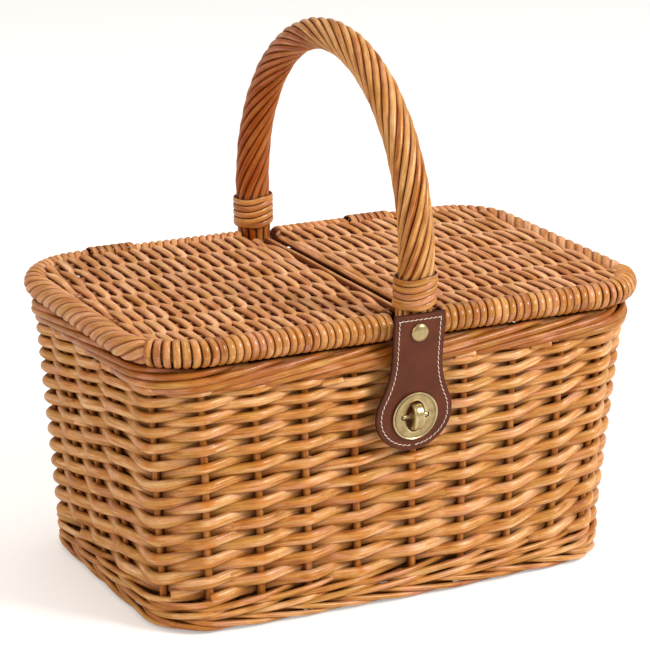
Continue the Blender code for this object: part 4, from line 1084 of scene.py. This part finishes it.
def makeLeatherMaterial():
    material, g, shader = newMaterial("tabLeather", **{"Coat Weight": 0.05, "Coat Roughness": 0.35,
                                                      "Specular IOR Level": 0.2})
    links = material.node_tree.links
    spot = g.node("ShaderNodeAttribute", attribute_name="rodSpot").outputs["Vector"]
    edge = g.node("ShaderNodeAttribute", attribute_name="rodDeep").outputs["Fac"]
    dent = g.node("ShaderNodeAttribute", attribute_name="rodBend").outputs["Fac"]
    grain = g.node("ShaderNodeTexVoronoi", {"Vector": spot, "Scale": 1500.0, "Randomness": 0.9},
                   feature="DISTANCE_TO_EDGE").outputs["Distance"]
    pores = g.noise(spot, 700.0, 3.0, 0.6)
    cloud = g.noise(spot, 60.0, 3.0, 0.55)
    broad = g.noise(spot, 22.0, 2.0, 0.5)
    tint = g.mix(g.span(cloud, 0.35, 0.65), shade(88, 40, 18), shade(104, 50, 27))
    tint = g.mix(g.math("MULTIPLY", g.span(broad, 0.35, 0.7), 0.35), tint, shade(84, 36, 26))
    tint = g.mix(g.math("MULTIPLY", g.span(pores, 0.55, 0.75), 0.25), tint, shade(52, 22, 18))
    tint = g.mix(g.math("MULTIPLY", dent, 0.45), tint, shade(84, 40, 34))
    tint = g.mix(g.math("MULTIPLY", g.span(edge, 0.25, 1.0), 0.85), tint, shade(46, 18, 22))
    links.new(tint, shader.inputs["Base Color"])
    links.new(g.math("ADD", g.span(cloud, 0.3, 0.7, 0.42, 0.56), g.math("MULTIPLY", edge, 0.15)),
              shader.inputs["Roughness"])
    height = g.math("ADD", g.math("MULTIPLY", g.span(grain, 0.0, 0.12), 0.6), g.math("MULTIPLY", pores, 0.5))
    bump = g.node("ShaderNodeBump", {"Height": height, "Strength": 0.22, "Distance": 0.0003})
    links.new(bump.outputs[0], shader.inputs["Normal"])
    return material


tabLeather = makeLeatherMaterial()


def makeThreadMaterial():
    material, g, shader = newMaterial("stitchThread", **{"Sheen Weight": 0.2, "Specular IOR Level": 0.3})
    links = material.node_tree.links
    spot = g.node("ShaderNodeAttribute", attribute_name="rodSpot").outputs["Vector"]
    lay = g.node("ShaderNodeTexWave", {"Vector": g.stretched(spot, (1500, 1100, 1100)), "Scale": 1.0,
                                       "Distortion": 0.6}, bands_direction="DIAGONAL").outputs["Fac"]
    tint = g.mix(g.span(lay, 0.1, 0.9), shade(218, 194, 168), shade(250, 236, 220))
    links.new(tint, shader.inputs["Base Color"])
    links.new(g.span(lay, 0, 1, 0.75, 0.6), shader.inputs["Roughness"])
    bump = g.node("ShaderNodeBump", {"Height": lay, "Strength": 0.5, "Distance": 0.0002})
    links.new(bump.outputs[0], shader.inputs["Normal"])
    return material


stitchThread = makeThreadMaterial()


def makeBrassWear():
    # Tarnish that gathers in hollows, and a bright rub on edges.
    colour, value = "NodeSocketColor", "NodeSocketFloat"
    tree, g, given, out = newGroup("brassWear", (
        ("Spot", "NodeSocketVector", None), ("Edge", value, 0.0), ("Hollow", value, 0.0),
        ("Bright", colour, shade(226, 208, 160)), ("Plain", colour, shade(196, 174, 126)),
        ("Tarnish", colour, shade(92, 66, 38)),
    ), (("Colour", colour), ("Roughness", value), ("Height", value)))
    cloud = g.noise(given["Spot"], 160.0, 4.0, 0.6)
    fine = g.noise(given["Spot"], 1400.0, 3.0, 0.6)
    scratch = g.noise(g.stretched(given["Spot"], (3000, 160, 900)), 1.0, 2.0, 0.5)
    tint = g.mix(g.math("MULTIPLY", g.span(cloud, 0.4, 0.72), 0.45), given["Plain"], given["Tarnish"])
    tint = g.mix(g.math("MULTIPLY", given["Hollow"], 0.85), tint, given["Tarnish"])
    rub = g.math("MULTIPLY", given["Edge"], g.span(fine, 0.3, 0.6, 0.55, 1.0))
    tint = g.mix(rub, tint, given["Bright"])
    tree.links.new(tint, out["Colour"])
    rough = g.math("ADD", g.span(cloud, 0.3, 0.7, 0.24, 0.42), g.math("MULTIPLY", given["Hollow"], 0.2))
    tree.links.new(g.math("SUBTRACT", rough, g.math("MULTIPLY", rub, 0.08)), out["Roughness"])
    tree.links.new(g.math("ADD", g.math("MULTIPLY", fine, 0.6), g.math("MULTIPLY", scratch, 0.4)), out["Height"])
    return tree


brassWear = makeBrassWear()


def makeBrassMaterial(name):
    material, g, shader = newMaterial(name, **{"Metallic": 1.0})
    links = material.node_tree.links
    worn = g.node("ShaderNodeGroup", node_tree=brassWear)
    for word, attribute, output in (("Spot", "rodSpot", "Vector"), ("Edge", "rodBend", "Fac"),
                                    ("Hollow", "rodDeep", "Fac")):
        links.new(g.node("ShaderNodeAttribute", attribute_name=attribute).outputs[output], worn.inputs[word])
    bump = g.node("ShaderNodeBump", {"Height": worn.outputs["Height"], "Strength": 0.12, "Distance": 0.0002})
    links.new(worn.outputs["Colour"], shader.inputs["Base Color"])
    links.new(worn.outputs["Roughness"], shader.inputs["Roughness"])
    links.new(bump.outputs[0], shader.inputs["Normal"])
    return material


antiqueBrass = makeBrassMaterial("antiqueBrass")


def addGrid(bundle, rows, spot, tone=0.5, bend=0.0, deep=0.0, closed=False, flip=False):
    # A grid of points, rows by columns, joined with quads. closed joins the last column to the first.
    rows = np.asarray(rows, float)
    r, c = rows.shape[:2]
    i, j = np.meshgrid(np.arange(r - 1), np.arange(c if closed else c - 1), indexing="ij")
    k = (j + 1) % c
    quads = np.stack([i * c + j, i * c + k, (i + 1) * c + k, (i + 1) * c + j], 2).reshape(-1, 4)
    if flip:
        quads = quads[:, ::-1]
    wide = [np.broadcast_to(v, (r, c)).ravel() if np.ndim(v) else v for v in (tone, bend, deep)]
    addPart(bundle, rows.reshape(-1, 3), quads, [], np.asarray(spot, float).reshape(-1, 3), *wide)


def makeLeather(name, rowsY, halfAt, nodes, hole=None):
    # A strap as a grid: across it from edge to edge, rounded at both edges, front and back.
    bundle = newBundle()
    thick = tab["thick"]
    across = 28
    rings = []
    deepRows, dentRows = [], []
    for y in rowsY:
        half = halfAt(y)
        u = np.sin(np.linspace(-1, 1, across) * math.pi / 2)
        x = u * half
        edge = np.clip((half - np.abs(x)) / 0.0011, 0, 1)
        front = thick - 0.0007 * (1 - np.sqrt(edge * (2 - edge)))
        back = 0.0002 + 0.0005 * (1 - np.sqrt(edge * (2 - edge)))
        ring = np.concatenate([np.stack([x, np.full(across, y), front], 1),
                               np.stack([x, np.full(across, y), back], 1)[::-1]])
        rings.append(ring)
        far = np.abs(half - np.abs(x))
        shadeEdge = np.exp(-far / 0.0012)
        deepRows.append(np.concatenate([shadeEdge, np.ones(across)]))
        dentRows.append(np.zeros(2 * across))
    rings = np.array(rings)
    addGrid(bundle, onTab(rings), rings * (1, 1, 1), 0.5, np.array(dentRows), np.array(deepRows), closed=True)
    return bundle, rings


stitch = {"inset": 0.0039, "pitch": 0.0037, "length": 0.0027, "askew": 0.20}


def stitchLine():
    outline = tabOutline(24)
    inset = stitch["inset"]
    tangent = unit(np.gradient(outline, axis=0))
    normal = np.stack([-tangent[:, 1], tangent[:, 0]], 1)
    inside = outline - normal * -inset if normal[20, 0] < 0 else outline - normal * inset
    return inside


def makeStitches():
    # Short threads in a line inset from the edge, each a little askew and sunk at both ends.
    rise = (tab["topHeight"] - tab["bendHeight"]) / math.cos(math.radians(tab["slope"]))
    top = rise - stitch["inset"]
    inside = stitchLine()
    flank, length = evenly(np.vstack([[(tab["topHalf"] - stitch["inset"], top)], inside[inside[:, 1] < top]]), 600)
    far = np.linspace(0, length, 600)
    bundles = {"basket": newBundle(), "tab": newBundle()}

    def sew(start, end):
        middle, run = (start + end) / 2, (end - start) / 2
        across = np.array((-run[1], run[0])) * stitch["askew"]
        u = np.linspace(-1, 1, 7)
        flat = middle + u[:, None] * (run + across)
        z = tab["thick"] + 0.00005 + 0.00032 * np.cos(u * math.pi / 2) ** 0.6
        path = onTab(np.column_stack([flat, z]))
        layRod(bundles["basket" if middle[1] > 0 else "tab"], path, tabNumbers[:3, 2], 0.00027, 0.00033, 8,
               tone=rng.uniform(0.3, 0.8), groove=0)

    for k in range(int(length / stitch["pitch"])):
        ends = [np.array([np.interp(v, far, flank[:, 0]), np.interp(v, far, flank[:, 1])])
                for v in (k * stitch["pitch"], k * stitch["pitch"] + stitch["length"])]
        sew(*ends)
        sew(*(end * (-1, 1) for end in ends))
    count = round(2 * (tab["topHalf"] - stitch["inset"]) / stitch["pitch"])
    for k in range(count):
        x = -tab["topHalf"] + stitch["inset"] + (k + 0.1) * stitch["pitch"]
        sew(np.array((x, top)), np.array((x + stitch["length"], top)))
    for body, bundle in bundles.items():
        finishPiece(bundle, f"{body}Stitches", stitchThread, body)


def halfWidthAt(y):
    outline = tabOutline(24)
    low = outline[::-1]
    return float(np.interp(y, low[:, 1], low[:, 0]))


def makeTab():
    rise = (tab["topHeight"] - tab["bendHeight"]) / math.cos(math.radians(tab["slope"]))
    foot = -tab["discDrop"] - tab["discFoot"]
    y = np.concatenate([np.linspace(rise, -tab["discDrop"], 60)[:-1],
                        -tab["discDrop"] - tab["discFoot"] * np.sin(np.linspace(0, math.pi / 2 - 0.06, 26))])
    y = np.append(y, foot)
    bundle, rings = makeLeather("leatherTab", y, lambda v: max(halfWidthAt(v), 0.0006), ())
    first, last = rings[0], rings[-1]
    for ring, flip in ((first, False), (last, True)):
        half = len(ring) // 2
        rows = np.stack([ring[:half], ring[half:][::-1]], 0)
        addGrid(bundle, onTab(rows), rows, 0.5, 0.0, 1.0, flip=not flip)
    piece = finishPiece(bundle, "leatherTab", tabLeather, None, ["tab_top", "tab_flap"], sharp=50)
    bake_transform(piece)
    makeStitches()


makeTab()


def spin(bundle, profile, place, steps=64, edges=(), hollows=()):
    # A turned piece: profile is (radius, z, edge, hollow) from the middle of its face round to its back.
    profile = np.array(profile, float)
    angle = np.linspace(0, 2 * math.pi, steps + 1)[:-1]
    rows = []
    for radius, z in profile[:, :2]:
        rows.append(np.stack([radius * np.cos(angle), radius * np.sin(angle), np.full(steps, z)], 1))
    rows = np.array(rows)
    spots = rows.copy()
    rows[..., 1] += place
    addGrid(bundle, onTab(rows), spots, 0.5, profile[:, 2][:, None] * np.ones(steps),
            profile[:, 3][:, None] * np.ones(steps), closed=True)


lock = {
    "plateRadius": 0.0178, "plateBack": 0.0029, "plateFront": 0.0041, "rimHeight": 0.0005, "rimWidth": 0.0015,
    "slotHalf": (0.0076, 0.0117), "knobHalfWidth": 0.0039, "knobHalfHeight": 0.0098, "knobDepth": 0.0075,
    "barHalf": (0.0106, 0.0016), "barProud": 0.0005, "baseRadius": 0.0140, "stem": 0.0028,
}


def makeRivet():
    bundle = newBundle()
    rise = (tab["rivetHeight"] - tab["bendHeight"]) / math.cos(math.radians(tab["slope"]))
    back, radius, height = tab["thick"] + 0.0002, 0.0068, 0.0031
    profile = []
    for k in range(13):
        a = math.pi / 2 * k / 12
        profile.append((max(radius * math.sin(a), 1e-5), back + height * math.cos(a) ** 0.9, 0.5 * (k > 9), 0.0))
    profile += [(radius * 0.97, back - 0.0003, 0.0, 1.0), (1e-5, back - 0.0003, 0.0, 1.0)]
    spin(bundle, profile, rise, 48)
    finishPiece(bundle, "tabRivet", antiqueBrass, "basket", ["tab_rivet"], sharp=45)


makeRivet()


def makePlate():
    # A round plate with a raised rim and an oval opening with a notch at each side for the crossbar.
    bundle = newBundle()
    steps = 96
    angle = np.linspace(0, 2 * math.pi, steps + 1)[:-1]
    a, b = lock["slotHalf"]
    oval = np.stack([a * np.cos(angle), b * np.sin(angle)], 1)
    notch = np.abs(oval[:, 1]) < 0.0021
    oval[:, 0] = np.where(notch, np.sign(oval[:, 0]) * 0.0110, oval[:, 0])
    front, back, radius = lock["plateFront"], lock["plateBack"], lock["plateRadius"]
    circle = np.stack([np.cos(angle), np.sin(angle)], 1)
    rows, edge, hollow = [], [], []

    def add(points, z, e, h):
        rows.append(np.column_stack([points, np.full(steps, z)]))
        edge.append(e)
        hollow.append(h)

    add(oval, back, 0.0, 1.0)
    add(oval, front - 0.0002, 0.3, 0.5)
    add(oval + circle * 0.0003, front, 0.9, 0.0)
    for share in (0.25, 0.5, 0.75):
        ring = (oval + circle * 0.0003) * (1 - share) + circle * (radius - lock["rimWidth"]) * share
        add(ring, front, 0.0, 0.08)
    rim0 = radius - lock["rimWidth"]
    add(circle * rim0, front, 0.0, 0.6)
    add(circle * (rim0 + 0.0004), front + lock["rimHeight"] * 0.55, 0.5, 0.1)
    add(circle * (rim0 + 0.0007), front + lock["rimHeight"], 1.0, 0.0)
    add(circle * (radius - 0.0005), front + lock["rimHeight"] * 0.8, 0.8, 0.0)
    add(circle * (radius - 0.0001), front + 0.0002, 0.4, 0.2)
    add(circle * radius, front - 0.0005, 0.1, 0.5)
    add(circle * (radius - 0.0002), back, 0.0, 1.0)
    add(oval + circle * 0.0002, back, 0.0, 1.0)
    rows = np.array(rows)
    spots = rows.copy()
    rows[..., 1] -= tab["lockDrop"]
    addGrid(bundle, onTab(rows), spots, 0.5, np.array(edge)[:, None] * np.ones(steps),
            np.array(hollow)[:, None] * np.ones(steps), closed=True, flip=True)
    finishPiece(bundle, "lockPlate", antiqueBrass, "tab", ["lock_plate"], sharp=35)


makePlate()


def makeLockBase():
    bundle = newBundle()
    radius = lock["baseRadius"]
    spin(bundle, [(1e-5, -0.0003, 0, 1), (radius - 0.0003, -0.0003, 0, 1), (radius, -0.0006, 0, 1),
                  (radius, -0.0015, 0, 1), (1e-5, -0.0015, 0, 1)], -tab["lockDrop"], 64)
    front = lock["plateFront"] + lock["barProud"]
    x = np.linspace(-lock["barHalf"][0] + 0.0013, lock["barHalf"][0] - 0.0013, 24)
    path = onTab(np.stack([x, np.full(24, -tab["lockDrop"]), np.full(24, front - 0.0013)], 1))
    layRod(bundle, path, tabNumbers[:3, 2], 0.0013, lock["barHalf"][1], 14, tone=0.5, bend=0.5, deep=0.0)
    for side in (-1, 1):
        z = np.linspace(-0.0005, front - 0.0014, 6)
        path = onTab(np.stack([np.full(6, side * 0.0090), np.full(6, -tab["lockDrop"]), z], 1))
        layRod(bundle, path, tabNumbers[:3, 0], 0.0013, 0.0011, 12, tone=0.5, deep=0.8)
    spin(bundle, [(1e-5, front - 0.0003, 0, 0.6), (0.0042, front - 0.0003, 0.3, 0.4), (0.0045, front - 0.0006, 0, 0.8),
                  (0.0045, -0.0005, 0, 1), (1e-5, -0.0005, 0, 1)], -tab["lockDrop"], 40)
    finishPiece(bundle, "lockBase", antiqueBrass, "basket", ["lock_base"], sharp=45)


makeLockBase()


def makeKnob():
    # A thick half disc standing on its stem, with its edges rounded over.
    bundle = newBundle()
    back = lock["plateFront"] + lock["rimHeight"] + 0.0003
    half, tall, deepness = lock["knobHalfWidth"], lock["knobHalfHeight"], lock["knobDepth"]
    steps = 40
    rows, edge = [], []
    for k in range(17):
        u = -1 + 2 * k / 16
        inset = 0.0016 * (1 - math.sqrt(max(1 - max(abs(u) - 0.45, 0) ** 2 / 0.3025, 0)))
        x = half * u
        a = np.linspace(0, math.pi, steps)
        bulge = 1 - 0.06 * np.abs(np.cos(a)) ** 4
        y = (tall - inset) * np.cos(a)
        z = back + (deepness - inset) * np.sin(a) ** 0.85 * bulge
        rows.append(np.stack([np.full(steps, x), y, z], 1))
        edge.append(0.8 * (0.55 < abs(u) < 0.95))
    rows = np.array(rows)
    spots = rows.copy()
    rows[..., 1] -= tab["lockDrop"]
    addGrid(bundle, onTab(rows), spots, 0.5, np.array(edge)[:, None] * np.ones(steps), 0.0)
    for row, flip in ((rows[0], False), (rows[-1], True)):
        middle = np.broadcast_to((row[0] + row[-1]) / 2, row.shape)
        addGrid(bundle, onTab(np.stack([row, row * 0.5 + middle * 0.5, middle])), np.stack([row, row, row]), 0.5,
                np.array([0.5, 0.0, 0.0])[:, None] * np.ones(steps), np.array([0.0, 0.2, 0.3])[:, None] * np.ones(steps),
                flip=not flip)
    under = np.stack([rows[:, 0], rows[:, -1]])
    addGrid(bundle, onTab(under), under, 0.5, 0.0, 0.8, flip=True)
    z = np.linspace(0.0006, back + 0.001, 6)
    path = onTab(np.stack([np.zeros(6), np.full(6, -tab["lockDrop"]), z], 1))
    layRod(bundle, path, tabNumbers[:3, 0], lock["stem"], lock["stem"], 24, tone=0.5, deep=0.6)
    finishPiece(bundle, "turnKnob", antiqueBrass, "knob", ["turn_knob"], sharp=50)


makeKnob()
print("tab made")

# Floor, world and lamps
studio = {
    "floorSize": 8.0,
    "worldLight": 0.50,
    "key": {"power": 60, "size": 0.9, "at": (1.5, -1.9, 1.8)},
    "fill": {"power": 13, "colour": (1.0, 0.86, 0.62), "size": 1.6, "at": (-2.2, -0.9, 1.4)},
    "top": {"power": 17, "size": 1.6, "at": (0.1, 0.4, 2.4)},
}


def whiteForCamera(g, lit, strength):
    # The background shows white to the camera, and lights the part plainly.
    seen = g.node("ShaderNodeLightPath").outputs["Is Camera Ray"]
    white = g.node("ShaderNodeBackground", {"Color": (1, 1, 1, 1), "Strength": 1.0})
    plain = g.node("ShaderNodeBackground", {"Color": lit, "Strength": strength})
    return g.node("ShaderNodeMixShader", {0: seen, 1: plain.outputs[0], 2: white.outputs[0]})


def makeStudio():
    world = bpy.data.worlds.new("studioWorld")
    world.use_nodes = True
    world.node_tree.nodes.clear()
    g = Graph(world.node_tree)
    mixed = whiteForCamera(g, (1.0, 0.95, 0.88, 1), studio["worldLight"])
    g.node("ShaderNodeOutputWorld", {"Surface": mixed.outputs[0]})
    scene.world = world
    for name in ("key", "fill", "top"):
        lamp = studio[name]
        data = bpy.data.lights.new(f"{name}Lamp", "AREA")
        data.energy = lamp["power"]
        data.color = lamp.get("colour", (1, 1, 1))
        data.size = lamp["size"]
        piece = bpy.data.objects.new(f"{name}Lamp", data)
        scene.collection.objects.link(piece)
        spot = Vector(lamp["at"])
        aim = (Vector((0, 0, 0.15)) - spot).to_track_quat("-Z", "Y")
        piece.matrix_world = Matrix.Translation(spot) @ aim.to_matrix().to_4x4()
    size = studio["floorSize"]
    n = 24
    grid = np.linspace(-size, size, n)
    x, y = np.meshgrid(grid, grid, indexing="xy")
    points = np.stack([x, y, np.full_like(x, -0.0002)], 2).reshape(-1, 3)
    i, j = np.meshgrid(np.arange(n - 1), np.arange(n - 1), indexing="ij")
    quads = np.stack([i * n + j, i * n + j + 1, (i + 1) * n + j + 1, (i + 1) * n + j], 2).reshape(-1, 4)
    mesh = buildMesh("studioFloor", points, quads, np.zeros((0, 3), int))
    floor = bpy.data.objects.new("studioFloor", mesh)
    scene.collection.objects.link(floor)
    material = bpy.data.materials.new("studioFloor")
    material.use_nodes = True
    material.node_tree.nodes.clear()
    g = Graph(material.node_tree)
    seen = g.node("ShaderNodeLightPath").outputs["Is Camera Ray"]
    matte = g.node("ShaderNodeBsdfDiffuse", {"Color": (0.86, 0.86, 0.86, 1)})
    glow = g.node("ShaderNodeEmission", {"Color": (1, 1, 1, 1), "Strength": g.math("MULTIPLY", seen, 0.37)})
    both = g.node("ShaderNodeAddShader", {0: matte.outputs[0], 1: glow.outputs[0]})
    g.node("ShaderNodeOutputMaterial", {"Surface": both.outputs[0]})
    mesh.materials.append(material)


makeStudio()
scene.view_settings.view_transform = "Standard"
print("studio made")

bpy.context.view_layer.update()
